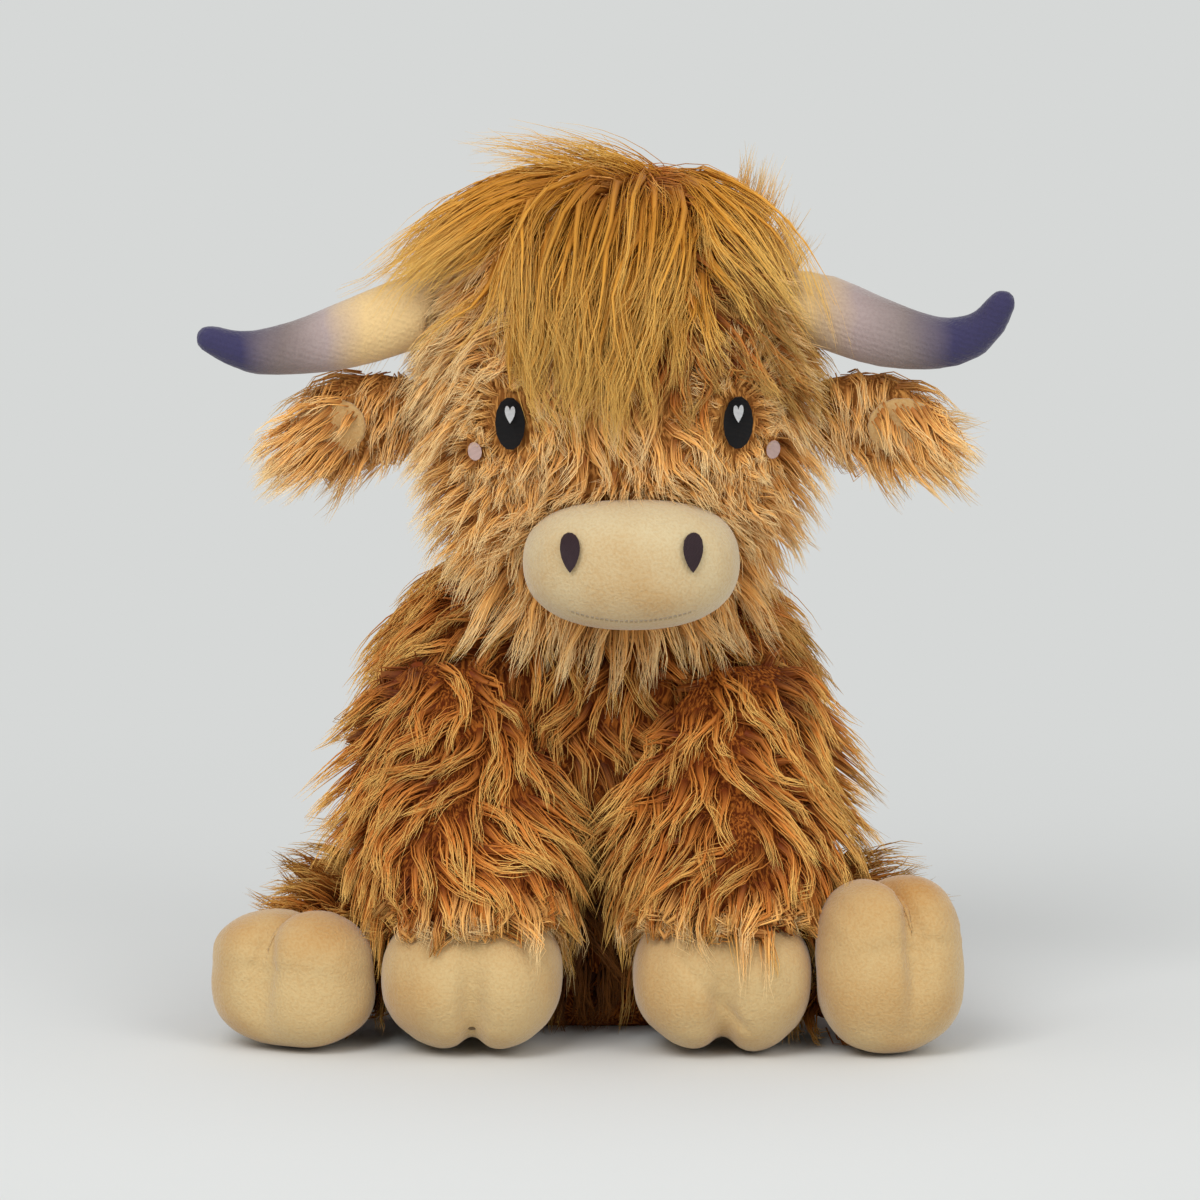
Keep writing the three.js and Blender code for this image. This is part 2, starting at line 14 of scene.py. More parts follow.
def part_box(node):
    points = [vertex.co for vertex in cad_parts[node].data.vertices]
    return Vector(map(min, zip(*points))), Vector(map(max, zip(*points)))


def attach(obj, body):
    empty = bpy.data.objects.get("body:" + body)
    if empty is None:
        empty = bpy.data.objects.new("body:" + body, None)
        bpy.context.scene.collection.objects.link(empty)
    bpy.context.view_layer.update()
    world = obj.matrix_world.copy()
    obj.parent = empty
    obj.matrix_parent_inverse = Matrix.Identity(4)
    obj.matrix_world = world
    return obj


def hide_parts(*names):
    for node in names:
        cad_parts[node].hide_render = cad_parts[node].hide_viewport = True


bl_info = {
    "name": "Plush cow",
    "version": (1, 0, 0),
    "blender": (4, 5, 0),
    "location": "3D View > Sidebar > Plush cow",
    "description": "Dresses a plush cow in long pile, short pile and embroidery",
    "category": "Object",
}

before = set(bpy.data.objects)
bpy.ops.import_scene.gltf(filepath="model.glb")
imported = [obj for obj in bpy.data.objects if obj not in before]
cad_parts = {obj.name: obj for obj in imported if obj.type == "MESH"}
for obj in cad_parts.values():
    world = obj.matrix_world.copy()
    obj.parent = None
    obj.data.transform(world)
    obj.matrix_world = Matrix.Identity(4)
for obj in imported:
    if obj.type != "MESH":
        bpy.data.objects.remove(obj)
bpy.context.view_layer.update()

MM = 0.001
UP = Vector((0, 0, 1))
SIDES = (("left", -1), ("right", 1))
PILE_MAP = "OFBake"  # the strands' own map: tone across, root to tip up
CLOTH_FLOOR = 0.4 * MM  # cloth and strands come no nearer to the floor
LOCK_FLOOR = 0.8 * MM  # nor the guide of a lock to it
ROOT_DEPTH = 1.5 * MM  # of a lock, in its cloth
EYE_DEPTH = 20 * MM  # how far behind an eye its surroundings reach
LOOKS_AWAY = 0.7  # a face with this share of the distance behind it has a spot inside
FORM_DEPTH = 20 * MM  # deeper than this, what lies behind a face is taken as the other side
TRIES = 9  # spots tried for each lock that would fit
STITCH = 0.45 * MM  # from thread to thread of the embroidery
HEAD_SQUARE = 2.15  # how square the head's ball is: 2 is an ellipsoid
DARK = {"body": 0.42, "head": 0.58, "gold": 0.6}  # the darkest strands of each pile


def shade(red, green, blue):
    """A colour as picked from a screen, from 0 to 255, as the shaders take it."""
    steps = [value / 255 for value in (red, green, blue)]
    return tuple(s / 12.92 if s <= 0.04045 else ((s + 0.055) / 1.055) ** 2.4 for s in steps)


def scaled(colour, share):
    return tuple(value * share for value in colour)


def solid(node):
    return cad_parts[node]


@lru_cache(maxsize=None)
def box_of(node):
    """A node's lowest and highest corners."""
    return tuple(Vector(corner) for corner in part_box(node))


def middle_of(node):
    low, high = box_of(node)
    return (low + high) / 2


# Node trees as Python expressions


class Wire:
    """A socket of a node tree that stands in a Python expression."""

    def __init__(self, board, socket):
        self.board, self.socket = board, socket

    def of(self, name):
        """Another output of the same node."""
        return Wire(self.board, self.socket.node.outputs[name])

    def __add__(self, other):
        return self.board.maths("ADD", self, other)

    def __radd__(self, other):
        return self.board.maths("ADD", other, self)

    def __sub__(self, other):
        return self.board.maths("SUBTRACT", self, other)

    def __rsub__(self, other):
        return self.board.maths("SUBTRACT", other, self)

    def __mul__(self, other):
        return self.board.maths("MULTIPLY", self, other)

    def __rmul__(self, other):
        return self.board.maths("MULTIPLY", other, self)

    def __truediv__(self, other):
        return self.board.maths("DIVIDE", self, other)

    def __pow__(self, other):
        return self.board.maths("POWER", self, other)


def is_vector(value):
    return value.socket.type == "VECTOR" if isinstance(value, Wire) else hasattr(value, "__len__")


class Board:
    """A node tree that is being wired."""

    def __init__(self, tree):
        self.tree = tree

    def node(self, kind, settings=None, sockets=None, out=0):
        """Adds a node: its settings first, then the values or wires of its sockets, by name or place."""
        made = self.tree.nodes.new(kind)
        for name, value in (settings or {}).items():
            if name == "stops":
                stops = made.color_ramp.elements
                while len(stops) < len(value):
                    stops.new(1)
                for stop, (place, colour) in zip(stops, value):
                    stop.position, stop.color = place, (*colour, 1)
            else:
                setattr(made, name, value)
        for name, value in (sockets or {}).items():
            if isinstance(value, Wire):
                self.tree.links.new(value.socket, made.inputs[name])
            else:
                made.inputs[name].default_value = value
        return Wire(self, made.outputs[out]) if made.outputs else made

    def maths(self, operation, *values):
        if not any(map(is_vector, values)):
            return self.node("ShaderNodeMath", {"operation": operation}, dict(enumerate(values)))
        if operation == "MULTIPLY" and not all(map(is_vector, values)):
            number, vector = sorted(values, key=is_vector)
            return self.node("ShaderNodeVectorMath", {"operation": "SCALE"}, {0: vector, 3: number})
        return self.node("ShaderNodeVectorMath", {"operation": operation}, dict(enumerate(values)))

    def parts_of(self, vector):
        wire = self.node("ShaderNodeSeparateXYZ", sockets={0: vector})
        return [wire.of(axis) for axis in "XYZ"]

    def vector(self, x, y, z=0.0):
        return self.node("ShaderNodeCombineXYZ", None, {0: x, 1: y, 2: z})

    def place(self):
        """Object coordinates, in metres."""
        return self.node("ShaderNodeTexCoord", out=3)

    def bump(self, depth, height, **more):
        return self.node("ShaderNodeBump", None, {"Distance": depth, "Height": height, **more})

    def eased(self, value, low, high):
        """0 below low, 1 above high, and a smooth rise between them."""
        sockets = {"Value": value, "From Min": low, "From Max": high}
        return self.node("ShaderNodeMapRange", {"interpolation_type": "SMOOTHSTEP"}, sockets)

    def mottle(self, place, size, detail=2.0, out="Fac"):
        """Cloudy noise whose spots are about size metres across."""
        sockets = {"Vector": place, "Scale": 0.5 / size, "Detail": detail}
        return self.node("ShaderNodeTexNoise", None, sockets, out)

    def blend(self, share, first, second, way="MIX"):
        """Goes from the first colour to the second, or multiplies it in."""
        sockets = {0: share, 6: opaque(first), 7: opaque(second)}
        return self.node("ShaderNodeMix", {"data_type": "RGBA", "blend_type": way}, sockets).of(2)


def opaque(colour):
    return colour if isinstance(colour, Wire) else (*colour, 1)


# Long pile: guide locks grown over a surface, and a node tree that makes each a tapering tuft of strands


def captured(board, geometry, name, value):
    """Keeps a value on a curve's points, and gives the curve and the kept value."""
    kept = board.tree.nodes.new("GeometryNodeCaptureAttribute")
    kept.capture_items.new("FLOAT", name)
    kept.domain = "POINT"
    for place, wire in enumerate((geometry, value)):
        board.tree.links.new(wire.socket, kept.inputs[place])
    return Wire(board, kept.outputs[0]), Wire(board, kept.outputs[1])


def tube(board, curve, corners, radius, thickness):
    """Closed tubes along curves, and which corner of the tube each point is."""
    edge = board.node("GeometryNodeCurvePrimitiveCircle", None, {"Resolution": corners, "Radius": radius})
    edge, corner = captured(board, edge, "Corner", board.node("GeometryNodeInputIndex"))
    sockets = {"Curve": curve, "Profile Curve": edge, "Scale": thickness, "Fill Caps": True}
    return board.node("GeometryNodeCurveToMesh", None, sockets), corner


def mapped(board, mesh, across, up):
    """Writes the strands' own map."""
    sockets = {"Geometry": mesh, "Name": PILE_MAP, "Value": board.vector(across, up)}
    return board.node("GeometryNodeStoreNamedAttribute", {"data_type": "FLOAT2", "domain": "CORNER"}, sockets)


def pile_tree():
    """The strands of every lock: copies of its guide, spread at the root and gathered at the tip."""
    tree = bpy.data.node_groups.new("Long pile", "GeometryNodeTree")
    for name, kind, default in (
        ("Guides", "Geometry", None), ("Strands", "Int", 10), ("Width", "Float", 0.6 * MM),
        ("Gather", "Float", 0.85), ("Frizz", "Float", 2 * MM), ("Shortest", "Float", 0.7),
        ("Heart", "Float", 0.7), ("Seed", "Int", 1), ("Finish", "Material", None),
    ):
        slot = tree.interface.new_socket(name, in_out="INPUT", socket_type=f"NodeSocket{kind}")
        if default is not None:
            slot.default_value = default
    tree.interface.new_socket("Pile", in_out="OUTPUT", socket_type="NodeSocketGeometry")
    board = Board(tree)
    given = board.node("NodeGroupInput")

    def stored(name, kind="FLOAT"):
        return board.node("GeometryNodeInputNamedAttribute", {"data_type": kind}, {"Name": name})

    def any_value(low, high, seed):
        """One value for each strand."""
        kind, first = ("FLOAT_VECTOR", 0) if is_vector(low) else ("FLOAT", 2)
        index = board.node("GeometryNodeInputIndex")
        sockets = {first: low, first + 1: high, "ID": index, "Seed": given.of("Seed") + seed}
        value = board.node("FunctionNodeRandomValue", {"data_type": kind}, sockets, first // 2)
        return board.node("GeometryNodeFieldOnDomain", {"domain": "CURVE", "data_type": kind}, {0: value})

    along, girth, root = stored("along"), stored("girth"), stored("root", "FLOAT_VECTOR")
    lines = board.node("GeometryNodeMeshToCurve", sockets={0: given.of("Guides")})
    sockets = {"Geometry": lines, "Amount": given.of("Strands")}
    strands = board.node("GeometryNodeDuplicateElements", {"domain": "SPLINE"}, sockets)
    place = board.node("GeometryNodeInputPosition")
    anywhere = (-1.0,) * 3, (1.0,) * 3
    way = board.node("ShaderNodeVectorMath", {"operation": "NORMALIZE"}, {0: any_value(*anywhere, 2)})
    offset = way * any_value(0.45, 1.2, 7)
    loose = any_value(0.0, 1.0, 4)
    gathered = given.of("Gather") * (1 - loose * loose * loose * 0.7)
    spread = offset * (girth * (1 - gathered * along**1.15))
    ripple = board.maths("SINE", along * 7 + loose * 6.28) * 0.5
    frizz = any_value(*anywhere, 3) * (given.of("Frizz") * along * (along + ripple))
    reach = any_value(given.of("Shortest"), 1.0, 1)
    combed = root + (place - root) * reach + spread + frizz
    strands = board.node("GeometryNodeSetPosition", None, {"Geometry": strands, "Position": combed})
    thickness = given.of("Width") * (1.02 - along) ** 0.6 * any_value(0.7, 1.3, 5)
    limited = board.maths("MINIMUM", board.maths("MAXIMUM", stored("tone"), 0.0), 0.85)
    lock_tone = 0.1 + limited * 0.6
    strands, tone = captured(board, strands, "Tone", lock_tone + any_value(-0.1, 0.1, 6))
    mesh, corner = tube(board, strands, 3, 0.5, thickness)
    mesh = mapped(board, mesh, tone + corner * 0.06, along * 0.98 + 0.01)

    # the close pile in the middle of a lock: a tapering body that the loose strands lie on
    narrowing = 1 - given.of("Gather") * along**0.8
    thickness = girth * given.of("Heart") * narrowing * board.maths("MAXIMUM", 1 - along * 1.2, 0.03)
    heart, corner = tube(board, lines, 6, 1.0, thickness)
    fold = board.maths("ABSOLUTE", corner / 3 - 1)
    heart = mapped(board, heart, lock_tone - 0.1 + fold * 0.3, along * 0.8 + 0.01)

    both = tree.nodes.new("GeometryNodeJoinGeometry")
    for part in (heart, mesh):
        tree.links.new(part.socket, both.inputs[0])
    mesh = Wire(board, both.outputs[0])
    x, y, z = board.parts_of(place)
    above = board.vector(x, y, board.maths("MAXIMUM", z, CLOTH_FLOOR))
    for kind, more in (
        ("SetPosition", {"Position": above}),
        ("SetShadeSmooth", {}),
        ("RealizeInstances", {}),
        ("SetMaterial", {"Material": given.of("Finish")}),
    ):
        mesh = board.node(f"GeometryNode{kind}", None, {"Geometry": mesh, **more})
    end = tree.nodes.new("NodeGroupOutput")
    tree.links.new(mesh.socket, end.inputs[0])
    return tree


def plain_mesh(obj):
    """Turns an object with its modifiers into a plain mesh, in place."""
    graph = bpy.context.evaluated_depsgraph_get()
    made = bpy.data.meshes.new_from_object(obj.evaluated_get(graph))
    obj.modifiers.clear()
    old, obj.data = obj.data, made
    bpy.data.meshes.remove(old)
    return obj


def new_piece(name, mesh):
    piece = bpy.data.objects.new(name, mesh)
    bpy.context.scene.collection.objects.link(piece)
    return piece


class Coat:
    """A surface that pile grows on, and what that pile keeps clear of."""

    def __init__(self, skin, keep_clear=(), room=2 * MM):
        self.skin, self.room = skin, room
        self.tree = self.tree_of(skin)
        self.others = [self.tree_of(other) for other in keep_clear]

    @staticmethod
    def tree_of(obj):
        corners = [v.co for v in obj.data.vertices]
        return BVHTree.FromPolygons(corners, [f.vertices[:] for f in obj.data.polygons])

    def roots(self, spacing, chance, growth):
        """Points spread over the skin, at least the spacing apart, with their normals."""
        faces, corners = self.skin.data.polygons, self.skin.data.vertices
        taken, found = {}, []
        areas = [face.area for face in faces]
        for face in chance.choices(faces, areas, k=int(sum(areas) / spacing**2 * TRIES)):
            a, b, c = (corners[i].co for i in chance.sample(list(face.vertices), 3))
            u, v = sorted((chance.random(), chance.random()))
            spot = a * u + b * (v - u) + c * (1 - v)
            if chance.random() > growth(spot, face.normal):
                continue
            i, j, k = (int(value // spacing) for value in spot)
            near = (taken.get((i + a, j + b, k + c), ()) for a, b, c in product((-1, 0, 1), repeat=3))
            if all((spot - other).length > spacing for others in near for other in others):
                taken.setdefault((i, j, k), []).append(spot)
                found.append((spot, face.normal.copy()))
        return found

    def kept_clear(self, spot, gap):
        """The spot, moved out of whatever it has come into."""
        for tree, room in [(self.tree, gap)] + [(tree, self.room) for tree in self.others]:
            near, normal, _, distance = tree.find_nearest(spot, 30 * MM)
            if near is None:
                continue
            height = (spot - near).dot(normal)
            if height < room and (height > 0 or LOOKS_AWAY * distance < -height < FORM_DEPTH):
                spot = spot + normal * (room - height)
        spot.z = max(spot.z, LOCK_FLOOR)
        return spot


class Style:
    """How the locks of a coat grow. Angles in degrees, lengths in metres."""

    spacing = 7.5 * MM
    length = 26 * MM
    lift = 48  # from the skin at the root
    settle = 14  # at the tip
    scatter = 38
    curl = 30
    waves = 0.9
    droop = 0.25
    girth = 4.2 * MM
    points = 6
    strands = 10
    width = 0.75 * MM
    gather = 0.86
    frizz = 2.2 * MM
    shortest = 0.7
    flow = 30 * MM  # size of the patches that lie one way
    cling = 0.5  # to the skin, where it turns away from the lie of the pile
    heart = 0.5  # thickness of the close pile in the middle of a lock
    loft = 4 * MM  # over the skin, half way along a lock

    def __init__(self, **given):
        self.__dict__.update(given)

    def but(self, **given):
        return Style(**{**self.__dict__, **given})

    def sparser(self, **given):
        """The same pile with fewer and wider strands, for where nothing fine shows."""
        return self.but(strands=self.strands * 2 // 3, width=self.width * 1.3, **given)


def always(value):
    return lambda spot, normal: value


def grow(
    coat, style, comb, growth=always(1), reach=always(1), lift=always(1), tone=always(0.6), steer=None,
    seed=1, wild=always(1),
):
    """The guide locks of a coat, as (points, girth, tone). They follow the skin and hang free at its end."""
    chance = random.Random(seed)
    locks = []
    for spot, normal in coat.roots(style.spacing, chance, growth):
        length = style.length * reach(spot, normal) * chance.uniform(0.8, 1.2)
        patch = noise.noise(spot / style.flow + Vector((seed, 0, 0)))
        turn = math.radians(style.scatter * (chance.gauss(0, 0.35) + 2 * patch)) * wild(spot, normal)
        curl = math.radians(style.curl) * chance.uniform(0.4, 1.4) * wild(spot, normal)
        phase = chance.uniform(0, 2 * math.pi)
        high = style.lift * lift(spot, normal) * chance.uniform(0.75, 1.25)
        points, here = [spot - normal * ROOT_DEPTH], spot.copy()
        for step in range(1, style.points):
            t = step / (style.points - 1)
            near, out, _, _ = coat.tree.find_nearest(here)
            way = Vector(comb(here, out))
            lean = way.dot(out)
            way -= out * (lean if lean < 0 else lean * style.cling)
            way.normalize()
            swing = turn + curl * math.sin(phase + 2 * math.pi * style.waves * t)
            way = Matrix.Rotation(swing, 3, out) @ way
            rise = math.radians(high + (style.settle - high) * t)
            ahead = way * math.cos(rise) + out * math.sin(rise) - UP * (style.droop * t)
            ahead *= length / (style.points - 1) / ahead.length
            here = coat.kept_clear(here + ahead, style.loft * math.sin(math.pi * min(t, 0.6)))
            if steer:
                here = steer(here)
            points.append(here)
        share = min(1, length / style.length)
        shade_of = tone(spot, normal) + chance.gauss(0, 0.14) + 0.35 * patch
        locks.append((points, style.girth * (0.5 + 0.5 * share), shade_of))
    return locks


def pile_piece(name, locks, style, finish, body, seed=1):
    """Makes the strands of the locks, as one piece that moves with a body."""
    mesh = bpy.data.meshes.new(name)
    corners, edges, given = [], [], {"along": [], "girth": [], "tone": [], "root": []}
    for points, wide, colour in locks:
        count, first = len(points), len(corners)
        corners += points
        edges += [(first + i, first + i + 1) for i in range(count - 1)]
        given["along"] += [i / (count - 1) for i in range(count)]
        given["girth"] += [wide] * count
        given["tone"] += [colour] * count
        given["root"] += [*points[0]] * count
    mesh.from_pydata(corners, edges, [])
    for label, values in given.items():
        kind, key = ("FLOAT_VECTOR", "vector") if label == "root" else ("FLOAT", "value")
        mesh.attributes.new(label, kind, "POINT").data.foreach_set(key, values)
    piece = new_piece(name, mesh)
    modifier = piece.modifiers.new("Long pile", "NODES")
    modifier.node_group = bpy.data.node_groups.get("Long pile") or pile_tree()
    slots = {item.name: item.identifier for item in modifier.node_group.interface.items_tree}
    for label in ("Strands", "Width", "Gather", "Frizz", "Shortest", "Heart"):
        modifier[slots[label]] = getattr(style, label.lower())
    modifier[slots["Seed"]], modifier[slots["Finish"]] = seed, finish
    plain_mesh(piece)
    for label in given:
        if label in piece.data.attributes:
            piece.data.attributes.remove(piece.data.attributes[label])
    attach(piece, body)


def coat_piece(name, body, part, style, seed, coat, comb, *growing, **more):
    """Grows a coat in the finish of a part, and makes it one piece."""
    locks = grow(coat, style, comb, *growing, seed=seed, **more)
    pile_piece(name, locks, style, coat_finish(part), body, seed)


# Finishes


def bare_board(owner):
    """The emptied node tree of a material or a world."""
    owner.use_nodes = True
    owner.node_tree.nodes.clear()
    return Board(owner.node_tree)


def finish(name, wire, **constants):
    """A material: its constants stand on the shader, and wire(board) gives what changes over the surface."""
    material = bpy.data.materials.new(name)
    board = bare_board(material)
    values = {key.replace("_", " "): value for key, value in constants.items()}
    surface = board.node("ShaderNodeBsdfPrincipled", None, {**values, **wire(board)})
    board.node("ShaderNodeOutputMaterial", None, {"Surface": surface})
    return material


def pile_finish(name, three, dark):
    """Long pile: from root to tip along a strand, and darker or lighter from strand to strand."""

    def wire(board):
        across, along, _ = board.parts_of(board.node("ShaderNodeUVMap", {"uv_map": PILE_MAP}))
        light, dim = (
            board.node("ShaderNodeValToRGB", {"stops": list(zip((0.03, 0.38, 0.86), stops))}, {0: along})
            for stops in (three, [scaled(colour, dark) for colour in three])
        )
        fine = board.mottle(board.vector(across * 90, along * 1.5), 0.5, 1.0)
        share = board.eased(across + (fine - 0.5) * 1.1, 0.05, 0.8)
        return {"Base Color": board.blend(share, dim, light)}

    return finish(name, wire, Roughness=0.6, Specular_IOR_Level=0.2)


def cloth_finish(name, colour, dark):
    """A cloth mottled in spots, with their bumps: the fillings and the pellet bag are finished in it."""

    def wire(board):
        spots = board.mottle(board.place(), 2 * MM, 3)
        return {"Base Color": board.blend(spots, colour, dark), "Normal": board.bump(0.5 * MM, spots)}

    return finish(name, wire, Roughness=0.95)


def shaded_undercoat(name, light, dark):
    """The close short hair under the long locks: fine streaks that hang and wander, kept dark as painted
    shade in the gaps between the locks.
    """

    def wire(board):
        place = board.place()
        sway = board.mottle(place, 9 * MM, 1, "Color") - (0.5, 0.5, 0.5)
        x, y, z = board.parts_of(place + sway * (14 * MM))
        streak = board.mottle(board.vector(x, y, z * 0.12), 0.5 * MM, 2)
        colour = board.blend(board.eased(streak, 0.4, 0.68), dark, light)
        return {"Base Color": colour, "Normal": board.bump(0.8 * MM, streak)}

    return finish(name, wire, Roughness=0.9, Specular_IOR_Level=0.1)


# Stuffed forms


def settle(form, mesh):
    """Writes a form into a mesh that shades smooth."""
    form.to_mesh(mesh)
    form.free()
    for face in mesh.polygons:
        face.use_smooth = True


def from_bmesh(name, form):
    mesh = bpy.data.meshes.new(name)
    settle(form, mesh)
    return new_piece(name, mesh)


def push_out(form, push, floor):
    """Moves each corner along its normal by push(spot, normal), and keeps it over the floor."""
    form.normal_update()
    moves = [corner.normal * push(corner.co, corner.normal) for corner in form.verts]
    for corner, move in zip(form.verts, moves):
        corner.co += move
        corner.co.z = max(corner.co.z, floor)


def stuffed_ball(name, centre, half, square, inset, level=6):
    """A stuffed ball of cloth, squarer than an ellipsoid, drawn in by inset(spot), flat on the floor."""
    form = bmesh.new()
    bmesh.ops.create_icosphere(form, subdivisions=level, radius=1)
    for corner in form.verts:
        way = corner.co.normalized()
        stretch = sum(abs(value) ** square for value in way) ** (-1 / square)
        corner.co = Vector(c + w * stretch * h for c, w, h in zip(centre, way, half))
    push_out(form, lambda spot, normal: -inset(spot), CLOTH_FLOOR)
    return from_bmesh(name, form)


def stuffed_copy(name, node, voxel, inset, rounds, shape=always(0)):
    """The cloth of a stuffed piece: its solid made smooth, drawn in, and shaped by shape(spot, normal)."""
    form = bmesh.new()
    form.from_mesh(solid(node).data)
    bmesh.ops.remove_doubles(form, verts=form.verts, dist=0.001 * MM)
    piece = from_bmesh(name, form)
    remesh = piece.modifiers.new("Remesh", "REMESH")
    remesh.mode, remesh.voxel_size = "VOXEL", voxel
    smooth = piece.modifiers.new("Smooth", "SMOOTH")
    smooth.factor, smooth.iterations = 0.5, rounds
    plain_mesh(piece)
    form = bmesh.new()
    form.from_mesh(piece.data)
    push_out(form, lambda spot, normal: shape(spot, normal) - inset, 0.1 * MM)
    settle(form, piece.data)
    return piece


def dressed(piece, material, body, fill, *nodes):
    """A padded piece that stands for its solids."""
    piece.data.materials.clear()
    piece.data.materials.append(material)
    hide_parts(*nodes)
    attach(piece, body)


def paint(material, *nodes):
    """The finish of solids that are shown as they are."""
    for node in nodes:
        solid(node).data.materials[0] = material


def inside(tree, spot, depth=0.0):
    """Whether a spot lies in a form by more than a depth. At a rim the nearest face can look away."""
    near, normal, _, gap = tree.find_nearest(spot)
    height = (spot - near).dot(normal)
    return (-gap if -height > LOOKS_AWAY * gap else gap) < -depth


def held(value, low, high):
    return max(low, min(high, value))


def eased(value, low, high):
    share = held((value - low) / (high - low), 0.0, 1.0)
    return share * share * (3 - 2 * share)


# Finishes of the short pile, the thread and the filling


def short_pile(name, colour, shadow, ribs=0.0, warm=None, seam=None):
    """Cropped plush: brushed patches, a fine nap, and ribs of the knitted ground where it is stretched.

    colour may be a function of the board and the place. A second function of the board and x, y, z gives a
    further share of the shadow tint:
    where the pile is cropped shorter, and painted shade where it meets the long pile. seam(board, x, y, z)
    gives where it is stitched.
    """

    def wire(board):
        place = board.place()
        x, y, z = board.parts_of(place)
        nap = height = board.mottle(place, 0.5 * MM, 2)
        brushed = board.eased(board.mottle(place, 16 * MM, 1), 0.4, 0.7)
        pressed_and_shaded = brushed * 0.35 + board.eased(nap, 0.65, 0.3) * 0.22
        if warm:
            # Painted shade where the pile meets the long pile, and the cropped middle of the muzzle.
            pressed_and_shaded = pressed_and_shaded + warm(board, x, y, z)
        base = colour(board, place) if callable(colour) else colour
        lit = board.blend(board.maths("MINIMUM", pressed_and_shaded, 1.0), base, shadow, "MULTIPLY")
        if seam:
            stitched = seam(board, x, y, z)
            lit = board.blend(stitched * 0.45, lit, scaled(shadow, 0.3))
            height = nap - stitched * 1.5
        if ribs:
            height = nap + board.maths("SINE", (z + x * 0.3) * (2 * math.pi / ribs)) * 0.12
        fine = board.bump(0.6 * MM, height, Strength=0.7)
        relief = board.bump(1.2 * MM, brushed, Strength=0.6, Normal=fine)
        return {"Base Color": lit, "Roughness": 0.75 + nap * 0.2, "Normal": relief}

    return finish(name, wire, Sheen_Weight=0.35, Sheen_Roughness=0.45, Specular_IOR_Level=0.15)


def satin_stitch(name, colour, lean=0.0):
    """Embroidery: threads laid side by side."""
    colour = tuple(colour)

    def wire(board):
        place = board.place()
        x, y, z = board.parts_of(place)
        threads = board.maths("SINE", (z + x * lean) * (2 * math.pi / STITCH))
        worn = board.mottle(place, 1.5 * MM, 3)
        # Painted shade in the grooves between the threads, with worn mottling.
        lit = board.blend(board.eased(threads + worn, -1.2, 1.0), scaled(colour, 0.6), colour)
        return {"Base Color": lit, "Roughness": 0.4 + worn * 0.2, "Normal": board.bump(0.3 * MM, threads)}

    return finish(name, wire, Specular_IOR_Level=0.3)


def named_finish(name, make, *values, **more):
    """The finish of that name, made on its first use."""
    return bpy.data.materials.get(name) or make(name, *values, **more)


def colour_property(label, description, *picked):
    """A colour that a user can change, given as picked from a screen."""
    default = shade(*picked)
    return bpy.props.FloatVectorProperty(
        name=label, description=description, subtype="COLOR", min=0, max=1, default=default
    )


def length_property(label, description, size):
    return bpy.props.FloatProperty(
        name=label, description=description, subtype="DISTANCE", unit="LENGTH", default=size
    )


def size_property(label, description, *sizes):
    """Three lengths, given in millimetres."""
    default = [size * MM for size in sizes]
    return bpy.props.FloatVectorProperty(name=label, description=description, unit="LENGTH", default=default)


def number_property(label, description, value, kind="NONE"):
    return bpy.props.FloatProperty(name=label, description=description, subtype=kind, default=value)


class CowColours(bpy.types.PropertyGroup):
    """Colours of the coat, the short pile and the thread."""

    body_root: colour_property("Body root", "Long body pile at the skin", 122, 54, 14)
    body_middle: colour_property("Body middle", "Long body pile half way up", 216, 134, 54)
    body_tip: colour_property("Body tip", "Long body pile at its tips", 252, 202, 112)
    head_root: colour_property("Head root", "Head pile at the skin", 176, 110, 50)
    head_middle: colour_property("Head middle", "Head pile half way up", 250, 188, 104)
    head_tip: colour_property("Head tip", "Head pile at its tips", 255, 222, 162)
    gold_root: colour_property("Forelock root", "Forelock at the skin", 172, 104, 34)
    gold_middle: colour_property("Forelock middle", "Forelock half way down", 214, 150, 52)
    gold_tip: colour_property("Forelock tip", "Forelock at its tips", 240, 194, 104)
    cream: colour_property("Cream", "Short pile of the feet and the muzzle", 199, 172, 123)
    # Also the tint of the painted shade on the feet and ear linings under the long pile.
    cream_shadow: colour_property("Cream shadow", "Short pile brushed the other way", 224, 184, 128)
    horn_middle: colour_property("Horn middle", "The horns half way out", 168, 152, 148)
    horn_tip: colour_property("Horn tip", "Dark end of the horns", 58, 55, 88)
    eye: colour_property("Eye", "Black thread", 14, 13, 17)
    glint: colour_property("Glint", "White thread", 255, 255, 255)
    blush: colour_property("Blush", "Pink thread", 255, 218, 208)
    nostril: colour_property("Nostril", "Brown thread", 72, 52, 58)
    fibre: colour_property("Fibre", "Filling and thread of the seams", 232, 226, 212)
    floor: colour_property("Floor", "Studio floor", 214, 216, 215)


class CowSizes(bpy.types.PropertyGroup):
    """Lengths of the pile, and the balls of cloth under it."""

    body_length: length_property("Body pile", "Length of the body's pile", 30 * MM)
    head_length: length_property("Head pile", "Length of the head's pile", 26 * MM)
    forelock_length: length_property("Forelock", "Length of the forelock", 84 * MM)
    beard_length: length_property("Beard", "Length of the pile under the muzzle", 36 * MM)
    ear_length: length_property("Ear pile", "Length of the pile on the ears", 24 * MM)
    strand_width: length_property("Strand", "Width of one strand at its root", 0.62 * MM)
    torso_ball: size_property("Torso", "Width, depth and height of the torso", 156, 126, 193)
    head_ball: size_property("Head", "Width, depth and height of the head", 136, 120, 164)


class CowStage(bpy.types.PropertyGroup):
    """Camera and light."""

    lens: number_property("Lens", "Focal length in millimetres", 300)
    distance: length_property("Distance", "From the camera to the toy", 3.6)
    tilt: number_property("Tilt", "How far the camera looks down", math.radians(8), "ANGLE")
    sky: number_property("Sky", "Strength of the light from all round", 0.7)
    key: number_property("Key", "Watts of the main soft box", 56, "POWER")
    fill: number_property("Fill", "Watts of the side soft box", 24, "POWER")


